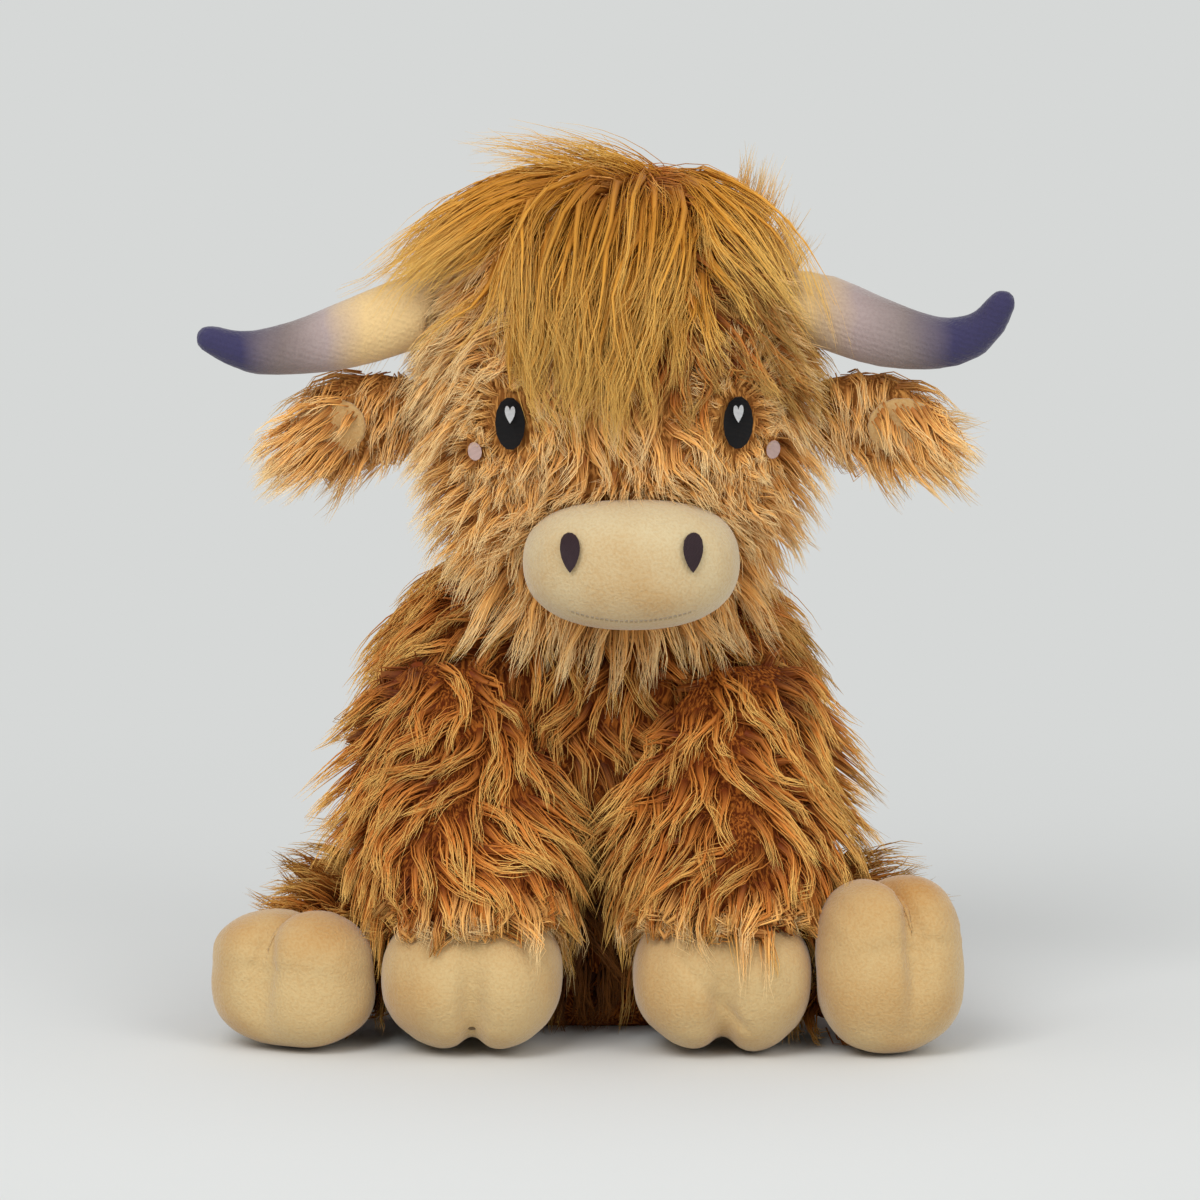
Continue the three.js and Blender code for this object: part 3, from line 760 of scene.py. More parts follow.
def colours():
    return bpy.context.scene.cow_colours


def sizes():
    return bpy.context.scene.cow_sizes


def three_of(part):
    """The colours of a long pile, from root to tip."""
    return [tuple(getattr(colours(), f"{part}_{place}")) for place in ("root", "middle", "tip")]


def coat_finish(part):
    """The long pile of the body, the head or the forelock (gold)."""
    return named_finish(f"Long pile {part}", pile_finish, three_of(part), DARK[part])


def belly_shade_finish():
    """The body's pile between the front legs, darkened as painted shade."""
    root, middle, _ = three_of("body")
    between = tuple((low + high) / 4 for low, high in zip(root, middle))
    three = (scaled(root, 0.5), between, scaled(middle, 0.5))
    return named_finish("Long pile belly", pile_finish, three, DARK["body"])


def shaded_ground_finish(part):
    """Under the long pile: as dark as its roots, with lighter hairs, as painted shade in the gaps between the
    locks.
    """
    root, middle, _ = three_of(part)
    light = tuple(r * 0.6 + m * 0.4 for r, m in zip(root, middle))
    # Painted shade between the locks: its darkest is half the roots' colour.
    return named_finish(f"Undercoat {part}", shaded_undercoat, light, scaled(root, 0.5))


def cream_finish():
    """Feet and ear linings: painted shade, darker and warmer towards the long pile above them, and in full on
    the ear linings.
    """

    def warm(board, x, y, z):
        # Painted shade: the tint deepens from 30 to 58 mm up, under the legs' long pile, and lies in full on
        # the ear linings.
        return board.eased(z, 30 * MM, 58 * MM) * 0.35

    cream, shadow = tuple(colours().cream), tuple(colours().cream_shadow)
    return named_finish("Cream plush", short_pile, cream, shadow, warm=warm)


def muzzle_finish():
    """The muzzle: cropped shorter in the middle, with a stitched seam along its lower edge."""
    middle, (low, _) = middle_of("muzzle"), box_of("muzzle")

    def warm(board, x, y, z):
        across, rise = (x - middle.x) / (30 * MM), (z - middle.z + 4 * MM) / (19 * MM)
        return (1 - board.eased(across * across + rise * rise, 0.2, 1.0)) * 0.2

    def seam(board, x, y, z):
        across = (x - middle.x) / MM
        off = board.maths("ABSOLUTE", z - low.z - 5.5 * MM - across * across * (0.0075 * MM))
        stitches = board.eased(board.maths("SINE", x * (2 * math.pi / (1.7 * MM))), -0.6, 0.3)
        ends = 1 - board.eased(board.maths("ABSOLUTE", across), 18, 24)
        within = ends * (1 - board.eased(y, -100 * MM, -90 * MM))
        return (1 - board.eased(off, 0.2 * MM, 0.6 * MM)) * stitches * within

    paler = tuple(value * share for value, share in zip(colours().cream, (1.0, 1.12, 1.38)))
    return short_pile("Muzzle plush", paler, tuple(colours().cream_shadow), warm=warm, seam=seam)


def torso_place():
    low, high = box_of("torso_cover")
    half = Vector(sizes().torso_ball) / 2
    return Vector(((low.x + high.x) / 2, (low.y + high.y) / 2, high.z - half.z)), half


def head_place():
    low, high = box_of("head_cover")
    half = Vector(sizes().head_ball) / 2
    return Vector(((low.x + high.x) / 2, high.y - half.y, high.z - half.z)), half


@lru_cache(maxsize=None)
def tree_of(node):
    return Coat.tree_of(solid(node))


@lru_cache(maxsize=None)
def embroidered():
    """Middle and half size of each eye and blush dot."""
    boxes = [box_of(f"{part}_{side}") for side, _ in SIDES for part in ("eye", "cheek")]
    return [((low + high) / 2, (high - low) / 2) for low, high in boxes]


def from_embroidery(spot):
    """How far a spot on the face is from an eye or blush dot, 1 at its edge, and the way out of it."""
    nearest = (9, UP)
    for centre, half in embroidered():
        across, rise = spot.x - centre.x, spot.z - centre.z
        far = math.hypot(across / (half.x + 0.5 * MM), rise / (half.z + 0.5 * MM))
        if spot.y <= centre.y + EYE_DEPTH and far < nearest[0]:
            nearest = (far, Vector((across, 0, rise)))
    return nearest


def beside_eyes(margin):
    """Moves a spot that would hide an eye or a blush dot out to its side."""

    def steer(spot):
        for centre, half in embroidered():
            across, rise = spot.x - centre.x, spot.z - centre.z
            far = math.hypot(across / (half.x + margin), rise / (half.z + margin))
            if spot.y < centre.y + EYE_DEPTH and 0 < far < 1:
                spot = Vector((centre.x + across / far, spot.y, centre.z + rise / far))
        return spot

    return steer


class COW_OT_torso(bpy.types.Operator):
    """Torso in long pile over its cloth"""

    bl_idname = "cow.torso"
    bl_label = "Torso"

    def execute(self, context):
        centre, half = torso_place()

        def inset(spot):
            lap = (1 - eased(spot.z, 5 * MM, 45 * MM)) * (1 - eased(spot.y, centre.y - 50 * MM, centre.y))
            return 5 * MM + 2 * MM * lap

        cloth = stuffed_ball("torso_cloth", centre, half, 2.8, inset)
        dressed(cloth, shaded_ground_finish("body"), "torso", 0.7, "torso_cover")
        kinds = ("front_leg", "hind_leg", "hind_hoof", "front_hoof")
        limbs = [tree_of(f"{kind}_{side}") for kind in kinds for side, _ in SIDES]
        neck = tree_of("head_filling")
        coat = Coat(cloth, [solid(f"front_leg_{side}") for side, _ in SIDES], 1 * MM)

        def growth(spot, normal):
            if normal.z < -0.7 or spot.z < 12 * MM or inside(neck, spot, -2 * MM):
                return 0
            if any(inside(limb, spot, 8 * MM) for limb in limbs):
                return 0
            return 1 if spot.z > 26 * MM or spot.y > centre.y - 20 * MM else 0.6

        def reach(spot, normal):
            return 0.5 + 0.5 * eased(spot.z, 12 * MM, 36 * MM)

        def comb(spot, out):
            side = held((spot.x - centre.x) / (45 * MM), -1, 1)
            high = eased(spot.z, 90 * MM, 150 * MM)
            return Vector((side * (0.5 + 0.4 * high), 0, -1 + 0.2 * high))

        def lift(spot, normal):
            return 1.1 if spot.x < centre.x else 1.1 - 0.5 * eased(spot.z, 90 * MM, 140 * MM)

        def tone(spot, normal):
            # Painted shade: the pile is darker low down, and darkest low between the front legs.
            between = 1 - eased(abs(spot.x - centre.x), 12 * MM, 36 * MM)
            low = 1 - eased(spot.z, 80 * MM, 125 * MM)
            return 0.62 - 0.14 * low - 0.9 * between * low

        style = Style(
            length=sizes().body_length, width=sizes().strand_width, spacing=6.8 * MM, girth=4.6 * MM,
            strands=15, scatter=40, curl=28, lift=34, settle=12, droop=0.35, gather=0.92, frizz=1.8 * MM,
            flow=36 * MM, cling=0.25,
        )
        behind = style.sparser(scatter=22, spacing=7.6 * MM)

        def in_front(spot, normal):
            return growth(spot, normal) if spot.y < centre.y else 0

        def at_back(spot, normal):
            return growth(spot, normal) if spot.y >= centre.y else 0

        parts = {"left": [], "right": [], "belly": []}
        for lock in grow(coat, style, comb, in_front, reach, lift, tone, seed=3):
            root = lock[0][0]
            # Locks low between the front legs take the darker pile of painted shade.
            in_belly_shade = abs(root.x - centre.x) < 17 * MM and root.z < 66 * MM
            parts["belly" if in_belly_shade else "left" if root.x < centre.x else "right"].append(lock)
        for count, (part, some) in enumerate(parts.items()):
            colour = belly_shade_finish() if part == "belly" else coat_finish("body")
            pile_piece(f"torso_pile_{part}", some, style, colour, "torso", 1 + count)
        coat_piece("torso_pile_back", "torso", "body", behind, 4, coat, comb, at_back, reach, tone=tone)
        return {"FINISHED"}


class COW_OT_head(bpy.types.Operator):
    """Head in tan pile, short round the eyes, with a beard under the muzzle"""

    bl_idname = "cow.head"
    bl_label = "Head"

    def execute(self, context):
        centre, half = head_place()
        eyes = [middle_of(f"eye_{side}") for side, _ in SIDES]
        low, high = box_of("muzzle")
        snout, snout_half = (low + high) / 2, (high - low) / 2

        def inset(spot):
            near = min((spot - eye).length for eye in eyes)
            side = eased(abs(spot.x - centre.x), 44 * MM, 66 * MM)
            return 1.2 * MM + 3 * MM * eased(near, 12 * MM, 45 * MM) + 4 * MM * side

        cloth = stuffed_ball("head_cloth", centre, half, HEAD_SQUARE, inset)
        dressed(cloth, shaded_ground_finish("head"), "head", 0.7, "head_cover")
        coat = Coat(cloth, [solid("muzzle")])
        neck, muzzle = tree_of("torso_filling"), tree_of("muzzle")

        def growth(spot, normal):
            if inside(muzzle, spot, -1 * MM) or inside(neck, spot, -4 * MM):
                return 0
            if from_embroidery(spot)[0] < 1.08:
                return 0
            under_forelock = spot.z > 290 * MM and spot.x < snout.x + 20 * MM
            if under_forelock:
                return 0.4
            return 1 if spot.y < centre.y + 10 * MM else 0.5

        # the roots of the horns and of the ears, from which the pile lies away
        bases = [
            (sign, Vector((centre.x + sign * out * MM, y * MM, z * MM)))
            for _, sign in SIDES
            for out, y, z in ((58, -48, 258), (62, -36, 222))
        ]

        def comb(spot, out):
            side = held((spot.x - snout.x) / 55 / MM, -1.2, 1.2)
            way = Vector((side * 0.9, 0, -0.85 if spot.z > snout.z else -1.2)).normalized()
            for side, base in bases:
                near = 1 - eased((spot - base).length, 16 * MM, 28 * MM)
                way = way * (1 - near) + Vector((side, -0.5, -0.5)) * near
            far, clear = from_embroidery(spot)
            if far < 2.6 and way.dot(clear) < 0.8 * clear.length:
                share = 1 - eased(far, 1.3, 2.6)
                way = way * (1 - share) + clear.normalized() * share
            return way

        def gap_to_muzzle(spot):
            return math.hypot((spot.x - snout.x) / snout_half.x, (spot.z - snout.z) / snout_half.z)

        def is_chin(spot):
            return spot.z < snout.z - 4 * MM and spot.y < -52 * MM

        def reach(spot, normal):
            short = 0.3 + 0.7 * eased(from_embroidery(spot)[0], 1.2, 3.0)
            if is_chin(spot):
                return short * sizes().beard_length / sizes().head_length
            brow = 0.7 if spot.z > snout.z and spot.y < -60 * MM else 1
            return short * (brow + (1 - brow) * eased(gap_to_muzzle(spot), 1.1, 2.4))

        def tone(spot, normal):
            # Painted light: the beard's pile is the lightest, against the shade under the muzzle.
            if is_chin(spot):
                return 1
            brow = eased(spot.x - snout.x, 0, 35 * MM) * eased(spot.z, 220 * MM, 250 * MM)
            cheek = eased(abs(spot.x - snout.x), 25 * MM, 45 * MM) * (1 - eased(spot.z, 200 * MM, 240 * MM))
            return 0.72 - 0.5 * brow + 0.5 * cheek

        def lift(spot, normal):
            return 1.5 if is_chin(spot) else 0.85

        style = Style(
            length=sizes().head_length, width=0.55 * MM, spacing=5.8 * MM, girth=4.1 * MM, strands=14,
            lift=30, settle=10, scatter=30, curl=32, droop=0.3, loft=3 * MM, gather=0.93, frizz=1.8 * MM,
        )
        locks = grow(coat, style, comb, growth, reach, lift, tone, beside_eyes(1 * MM), seed=11)
        parts = {"face": [], "left": [], "right": [], "brow": [], "back": []}
        for lock in locks:
            root = lock[0][0]
            if root.y > centre.y + 10 * MM:
                parts["back"].append(lock)
            elif root.x > snout.x and root.z > 236 * MM:
                parts["brow"].append(lock)
            elif abs(root.x - snout.x) < 34 * MM:
                parts["face"].append(lock)
            else:
                parts["left" if root.x < snout.x else "right"].append(lock)
        for count, (part, some) in enumerate(parts.items()):
            own = style.sparser() if part == "back" else style
            colour = coat_finish("body" if part == "brow" else "head")
            pile_piece(f"head_pile_{part}", some, own, colour, "head", 20 + count)
        self.grow_collars(cloth, centre)
        self.grow_tufts(cloth)
        self.grow_round_eyes(coat)
        self.grow_bridge(cloth, snout, gap_to_muzzle)
        return {"FINISHED"}

    def grow_collars(self, cloth, centre):
        """Short pile round the roots of the horns."""
        horns = [tree_of(f"horn_{side}") for side, _ in SIDES]

        def at_horns(spot, normal):
            near = 0.5 * MM < min(horn.find_nearest(spot)[3] for horn in horns) < 15 * MM
            return 1 if near and not any(inside(horn, spot) for horn in horns) else 0

        def along_horn(spot, out):
            return Vector((math.copysign(1, spot.x - centre.x), -0.35, -0.45))

        collar = Style(
            length=17 * MM, width=0.55 * MM, spacing=4 * MM, girth=3.4 * MM, strands=13, points=5,
            lift=30, settle=20, scatter=30, cling=0, loft=1 * MM,
        )
        bare = Coat(cloth, [solid(f"horn_{side}") for side, _ in SIDES], 1.5 * MM)
        tan = always(0.75)
        coat_piece("head_pile_at_horns", "head", "head", collar, 28, bare, along_horn, at_horns, tone=tan)

    def grow_tufts(self, cloth):
        """Two tufts that stand up on the right of the crown."""

        def at_tufts(spot, normal):
            near = min((spot - Vector(tuft) * MM).length for tuft in ((48, -26, 284), (57, -30, 268)))
            return 1 if near < 8 * MM else 0

        tufts = Style(
            length=27 * MM, width=0.5 * MM, spacing=3.6 * MM, girth=3.4 * MM, strands=13, lift=46,
            settle=34, scatter=16, curl=20, cling=0.6, droop=0, heart=0.3, gather=0.7, frizz=3 * MM,
        )
        upwards, brown = always((0.3, 0, 1)), always(0.5)
        coat_piece("head_pile_tufts", "head", "head", tufts, 29, Coat(cloth), upwards, at_tufts, tone=brown)

    def grow_round_eyes(self, coat):
        """Close pile that lies away from the eyes."""

        def near_eyes(spot, normal):
            return 1 if 1.0 < from_embroidery(spot)[0] < 2.8 else 0

        def from_eyes(spot, out):
            clear = from_embroidery(spot)[1].normalized()
            return clear + Vector((0, 0, -0.4))

        short = Style(
            length=9 * MM, width=0.5 * MM, spacing=2.5 * MM, girth=1.9 * MM, strands=8, points=4, lift=20,
            scatter=12, loft=1.2 * MM,
        )
        growing = {"growth": near_eyes, "steer": beside_eyes(0.5 * MM)}
        coat_piece("head_pile_round_eyes", "head", "head", short, 26, coat, from_eyes, **growing)

    def grow_bridge(self, cloth, snout, gap_to_muzzle):
        """Pile that hangs over the muzzle's upper edge."""

        def at_bridge(spot, normal):
            return 1 if spot.z > snout.z and 0.96 < gap_to_muzzle(spot) < 1.25 and spot.y < -60 * MM else 0

        def over_muzzle(spot, out):
            return Vector(((spot.x - snout.x) / 50 / MM, -1, -0.25))

        bridge = Style(
            length=13 * MM, width=0.5 * MM, spacing=3.2 * MM, girth=2.6 * MM, strands=11, points=5,
            lift=30, settle=6, scatter=16, droop=0.5, loft=1.5 * MM,
        )
        over = Coat(cloth, [solid("muzzle")], 1 * MM)
        coat_piece("head_pile_over_muzzle", "head", "head", bridge, 27, over, over_muzzle, at_bridge)


class COW_OT_forelock(bpy.types.Operator):
    """Gold forelock, parted at a whorl: a sweep to the left, a fringe between the eyes, and a crown"""

    bl_idname = "cow.forelock"
    bl_label = "Forelock"

    def execute(self, context):
        centre, half = head_place()
        cloth = crown_cap("forelock_cloth", centre, half)
        dressed(cloth, shaded_ground_finish("gold"), "head", 0.5, "forelock")
        whorl = Vector((centre.x + 4 * MM, centre.y + 2 * MM, centre.z + half.z))
        coat = Coat(bpy.data.objects["head_cloth"], [solid(f"horn_{side}") for side, _ in SIDES])

        def shares(spot):
            """How much a spot lies in the sweep, on the right, behind, and in the fringe."""
            across, ahead = spot.x - whorl.x, whorl.y - spot.y
            sweep = eased(-across, 8 * MM, 28 * MM)
            sweep *= 1 - eased(ahead, 24 * MM, 40 * MM) * (1 - eased(-across, 44 * MM, 56 * MM))
            right = eased(across, 24 * MM, 34 * MM)
            behind = eased(-ahead, 4 * MM, 18 * MM)
            return sweep, right, behind, max(0, 1 - sweep - right - behind)

        def growth(spot, normal):
            sweep, right, behind, fringe = shares(spot)
            across = spot.x - whorl.x
            if across > 27 * MM or (across < -36 * MM and sweep < 0.5) or spot.y > centre.y + 40 * MM:
                return 0
            if (spot - whorl).length < 7 * MM:
                return 0
            edge = 268 * MM if fringe > 0.5 else 286 * MM
            return 1 if spot.z > edge else 0

        def comb(spot, out):
            sweep, right, behind, fringe = shares(spot)
            lean = 0.12 - 0.57 * held((spot.x - whorl.x + 38 * MM) / 62 / MM, 0, 1)
            way = Vector((-1, -0.15, -0.42)) * sweep + Vector((0.7, -0.4, -0.9)) * right
            top = eased(spot.z, 275 * MM, 305 * MM)
            way += Vector((0, 0.7, -0.8)) * behind + Vector((lean, -0.8 * top, -0.9)) * fringe
            phase = 2 * math.pi * (spot.x / 13 + (spot.z - 0.25) * 0.02) / MM
            drawn = math.sin(phase + 3 * noise.noise(spot * 60))
            way.x -= 0.3 * fringe * drawn * (1 - eased(spot.z, 250 * MM, 300 * MM))
            away = Vector((spot.x - whorl.x, spot.y - whorl.y, 0))
            near = 1 - eased(away.length, 6 * MM, 30 * MM)
            return way.normalized() * (1 - near) + away.normalized() * near

        def reach(spot, normal):
            sweep, right, behind, fringe = shares(spot)
            down = math.acos(held((spot.z - centre.z) / half.z, -1, 1))
            shorter = 0.4 * eased(spot.x - whorl.x, 0, 26 * MM)
            ragged = 0.3 * noise.noise(Vector((spot.x / (12 * MM), 0, 4)))
            to_brow = 71 * MM * (1.85 - shorter + ragged - down)
            to_tip = max(26 * MM, (spot.x + 76 * MM) * 1.1)
            length = to_tip * sweep + 18 * MM * right + 36 * MM * behind + to_brow * fringe
            return length / sizes().forelock_length

        def lift(spot, normal):
            return 0.7 + 0.5 * shares(spot)[0]

        def tone(spot, normal):
            sweep, right, behind, fringe = shares(spot)
            return 0.46 + 0.5 * sweep + 0.2 * eased(spot.z, 280 * MM, 300 * MM)

        past_eyes = beside_eyes(4 * MM)

        def steer(spot):
            spot = past_eyes(spot)
            spot.y = max(spot.y, -126 * MM)
            return spot

        style = Style(
            length=sizes().forelock_length, width=0.46 * MM, spacing=4.7 * MM, girth=4.4 * MM, strands=18,
            lift=24, settle=2, scatter=10, curl=10, droop=0.06, points=9, waves=1.2, frizz=3.6 * MM,
            gather=0.74, loft=7 * MM, heart=0.5,
        )
        parts = (("fringe", 0.85, 0.06), ("sweep", 0.4, 0.2), ("crown", 0.9, 0.06))
        for count, (part, cling, droop) in enumerate(parts):

            def on_part(spot, normal):
                sweep, right, behind, fringe = shares(spot)
                of = "fringe" if fringe > 0.5 else "sweep" if sweep > max(right, behind) else "crown"
                return growth(spot, normal) if of == part else 0

            own = style.but(cling=cling, droop=droop)
            locks = grow(coat, own, comb, on_part, reach, lift, tone, steer, 5 + count)
            pile_piece(f"forelock_{part}", locks, own, coat_finish("gold"), "head", 34 + count)
        self.grow_wisps(coat, whorl)
        return {"FINISHED"}

    def grow_wisps(self, coat, whorl):
        """Loose strands over the crown."""

        def at_whorl(spot, normal):
            return 1 if (spot - whorl).length < 17 * MM else 0

        wisps = Style(
            length=46 * MM, width=0.4 * MM, spacing=5 * MM, girth=3 * MM, strands=9, lift=28, settle=10,
            scatter=16, curl=12, droop=0, points=7, gather=0.5, frizz=5 * MM, heart=0.1, loft=6 * MM,
        )
        locks = grow(coat, wisps, always((-1, 0, 0.2)), at_whorl, seed=6)
        pile_piece("forelock_wisps", locks, wisps, coat_finish("gold"), "head", 33)


def crown_cap(name, centre, half):
    """The cloth that the forelock is sewn through: the crown of the head's ball, closed below."""
    smaller = half - Vector((22, 22, 4)) * MM
    cap = stuffed_ball(name, centre + UP * 2 * MM, smaller, HEAD_SQUARE, lambda spot: 0, 5)
    form = bmesh.new()
    form.from_mesh(cap.data)
    every = [*form.verts, *form.edges, *form.faces]
    below = {"plane_co": (0, 0, 285 * MM), "plane_no": (0, 0, -1), "clear_outer": True}
    bmesh.ops.bisect_plane(form, geom=every, **below)
    bmesh.ops.holes_fill(form, edges=[edge for edge in form.edges if edge.is_boundary])
    bmesh.ops.recalc_face_normals(form, faces=form.faces)
    form.to_mesh(cap.data)
    form.free()
    return cap


class COW_OT_ears(bpy.types.Operator):
    """Ears: long pile behind and round the edge, short cream lining in front"""

    bl_idname = "cow.ears"
    bl_label = "Ears"

    def execute(self, context):
        for count, (side, sign) in enumerate(SIDES):
            body = f"ear_{side}"
            low, high = box_of(f"ear_lining_{side}")
            middle = (low + high) / 2
            end = abs(box_of(body)[0 if sign < 0 else 1].x)
            inner = min(abs(low.x), abs(high.x))

            def shape(spot, normal):
                return -4 * MM * eased(abs(spot.x), end - 22 * MM, end - 2 * MM)

            cloth = stuffed_copy(f"ear_cloth_{side}", body, 1.6 * MM, 3 * MM, 6, shape)
            dressed(cloth, shaded_ground_finish("head"), body, 0.4, body)
            lining = stuffed_copy(f"ear_lining_cloth_{side}", f"ear_lining_{side}", 0.8 * MM, 0.1 * MM, 3)
            dressed(lining, cream_finish(), body, 0.3, f"ear_lining_{side}")
            head = tree_of("head_cover")

            def growth(spot, normal):
                if inside(head, spot, 1 * MM):
                    return 0
                across = (abs(spot.x) - inner - 3 * MM) / 9 / MM
                rise = (spot.z - middle.z + 3 * MM) / 6 / MM
                return 0 if math.hypot(across, rise) < 1 and normal.y < 0 else 1

            def comb(spot, out):
                share = eased(abs(spot.x), inner, end)
                return Vector((sign * (0.6 + 0.35 * share), -0.1, -0.75 + 0.3 * share))

            def reach(spot, normal):
                near = 1 - eased(abs(spot.x), inner + 4 * MM, inner + 16 * MM)
                over_lining = near * eased(-normal.y, -0.4, 0.3)
                return (0.8 + 0.5 * eased(abs(end - abs(spot.x)), 4 * MM, 24 * MM)) * (1 - 0.45 * over_lining)

            style = Style(
                length=sizes().ear_length, width=0.55 * MM, spacing=4.1 * MM, girth=3.4 * MM, strands=13,
                lift=28, settle=8, scatter=26, curl=18, droop=0.4, points=5, cling=0.2, loft=2 * MM,
            )
            tan = always(0.95)
            locks = grow(Coat(cloth), style, comb, growth, reach, tone=tan, seed=40 + count)

            def on_lining(spot, normal):
                return 0 if normal.y > -0.2 or growth(spot, normal) == 0 else 1

            locks += grow(Coat(lining), style, comb, on_lining, reach, tone=tan, seed=44 + count)
            pile_piece(f"ear_pile_{side}", locks, style, coat_finish("head"), body, 40 + count)
        return {"FINISHED"}


class COW_OT_horns(bpy.types.Operator):
    """Stuffed horns in short pile, shaded from cream to dark"""

    bl_idname = "cow.horns"
    bl_label = "Horns"

    def execute(self, context):
        own = colours()
        middle, tip = tuple(own.horn_middle), tuple(own.horn_tip)
        shades = (scaled(own.cream, 1.3), middle, scaled(middle, 0.55), tip)
        for side, places in (("left", (0.3, 0.47, 0.65, 0.8)), ("right", (0.12, 0.33, 0.51, 0.71))):
            low, high = box_of(f"horn_{side}")
            near, far = (high.x, low.x) if side == "left" else (low.x, high.x)

            def gradient(board, place):
                x = board.parts_of(place)[0]
                out = (x - near) * (1 / (far - near)) + (board.mottle(place, 20 * MM, 3) - 0.5) * 0.2
                return board.node("ShaderNodeValToRGB", {"stops": list(zip(places, shades))}, {0: out})

            material = short_pile(f"Horn plush {side}", gradient, (0.62, 0.56, 0.58), 2.2 * MM)
            horn = stuffed_copy(f"horn_cloth_{side}", f"horn_{side}", 1.6 * MM, 0.2 * MM, 8)
            dressed(horn, material, "head", 0.9, f"horn_{side}")
        return {"FINISHED"}


class COW_OT_muzzle(bpy.types.Operator):
    """Muzzle in short cream pile with its embroidered nostrils"""

    bl_idname = "cow.muzzle"
    bl_label = "Muzzle"

    def execute(self, context):
        muzzle = stuffed_copy("muzzle_cloth", "muzzle", 1.6 * MM, 0.2 * MM, 8)
        dressed(muzzle, muzzle_finish(), "head", 0.8, "muzzle")
        thread = satin_stitch("Brown thread", colours().nostril, 0.5)
        paint(thread, "nostril_left", "nostril_right")
        return {"FINISHED"}


class COW_OT_face(bpy.types.Operator):
    """Embroidered eyes, their glints and the blush dots"""

    bl_idname = "cow.face"
    bl_label = "Face"

    def execute(self, context):
        own = colours()
        for part, label, colour in (
            ("eye", "Black thread", own.eye),
            ("eye_glint", "White thread", own.glint),
            ("cheek", "Pink thread", own.blush),
        ):
            paint(satin_stitch(label, colour), f"{part}_left", f"{part}_right")
        return {"FINISHED"}


def grow_hem(name, hoof, coat, drop, seed):
    """The locks of a leg that hang over its hoof."""
    torso, foot = tree_of("torso_cover"), tree_of(hoof)

    def at_hem(spot, normal):
        near, _, _, gap = foot.find_nearest(spot)
        if inside(torso, spot) or inside(foot, spot, 2 * MM) or gap > 13 * MM or near.z < 20 * MM:
            return 0
        return 0 if normal.z < -0.5 or spot.y > near.y + 4 * MM else 1

    def over_hoof(spot, out):
        turn = 0 if drop else math.copysign(0.3, spot.x)
        return Vector((turn + 0.25 * out.x, -0.35 if drop else -1, -1 if drop else 0.1))

    hem = Style(
        length=(27 if drop else 28) * MM, width=0.55 * MM, spacing=4.2 * MM, girth=3.8 * MM, strands=12,
        lift=34, settle=2, scatter=28, curl=24, cling=0, loft=2 * MM, gather=0.92,
    )
    toe = box_of(hoof)[0].y - 2 * MM

    def steer(spot):
        return Vector((spot.x, max(spot.y, toe), spot.z))

    part, tan = "head" if drop else "body", always(0.7)
    growing = {"tone": tan, "steer": steer}
    coat_piece(f"{name}_hem", name, part, hem, seed, coat, over_hoof, at_hem, **growing)


def dressed_leg(name, hoof, style, comb, drop, seed):
    """A stuffed leg in long pile. drop is the height of the hoof below a front leg, and 0 for a hind leg."""
    cloth = stuffed_copy(f"{name}_cloth", name, 4 * MM, 4 * MM, 8)
    dressed(cloth, shaded_ground_finish("body"), name, 0.7, name)
    torso, foot = tree_of("torso_cover"), tree_of(hoof)

    def growth(spot, normal):
        hidden = inside(torso, spot, 10 * MM) or inside(foot, spot, 4 * MM)
        return 0 if hidden or spot.z < 4 * MM or normal.z < -0.6 else 1

    def reach(spot, normal):
        if not drop:
            return 1 + 0.25 * max(0, normal.z)
        return 1 - 0.15 * (1 - eased(spot.z, drop, drop + 25 * MM))

    middle = sum(corner.x for corner in box_of("torso_cover")) / 2

    def tone(spot, normal):
        if not drop:
            return 0.4
        # Painted shade: darker between the front legs, below 96 mm.
        between = eased(20 * MM - abs(spot.x - middle), 0, 10 * MM) * (1 - eased(spot.z, 66 * MM, 96 * MM))
        return 0.72 + 0.3 * (1 - eased(spot.z, drop, drop + 34 * MM)) - 0.8 * between

    def lift(spot, normal):
        return (1 - 0.3 * max(0, -normal.y)) * (1 if drop else 1 + 0.4 * max(0, normal.z))

    def wild(spot, normal):
        return 0.45 + 0.55 * eased(spot.z, drop + 4 * MM, drop + 28 * MM)

    room = (1.6 if drop else 6.2) * MM
    coat = Coat(cloth, [solid(hoof)], room)
    growing = (growth, reach, lift, tone)
    coat_piece(f"{name}_pile", name, "body", style, seed, coat, comb, *growing, wild=wild)
    grow_hem(name, hoof, coat, drop, seed + 20)


class COW_OT_front_legs(bpy.types.Operator):
    """Front legs in long pile"""

    bl_idname = "cow.front_legs"
    bl_label = "Front legs"

    def execute(self, context):
        style = Style(
            length=sizes().body_length, width=sizes().strand_width, spacing=6.3 * MM, girth=4.6 * MM,
            strands=15, scatter=42, curl=28, lift=34, settle=12, gather=0.92, frizz=1.8 * MM,
            flow=34 * MM, cling=0.1,
        )
        for count, (side, _) in enumerate(SIDES):
            middle = middle_of(f"front_leg_{side}")
            top = box_of(f"front_hoof_{side}")[1].z

            def comb(spot, out):
                return Vector(((spot.x - middle.x) * 20 * eased(spot.z, top, top + 30 * MM), 0, -0.9))

            dressed_leg(f"front_leg_{side}", f"front_hoof_{side}", style, comb, top, 50 + count)
        return {"FINISHED"}


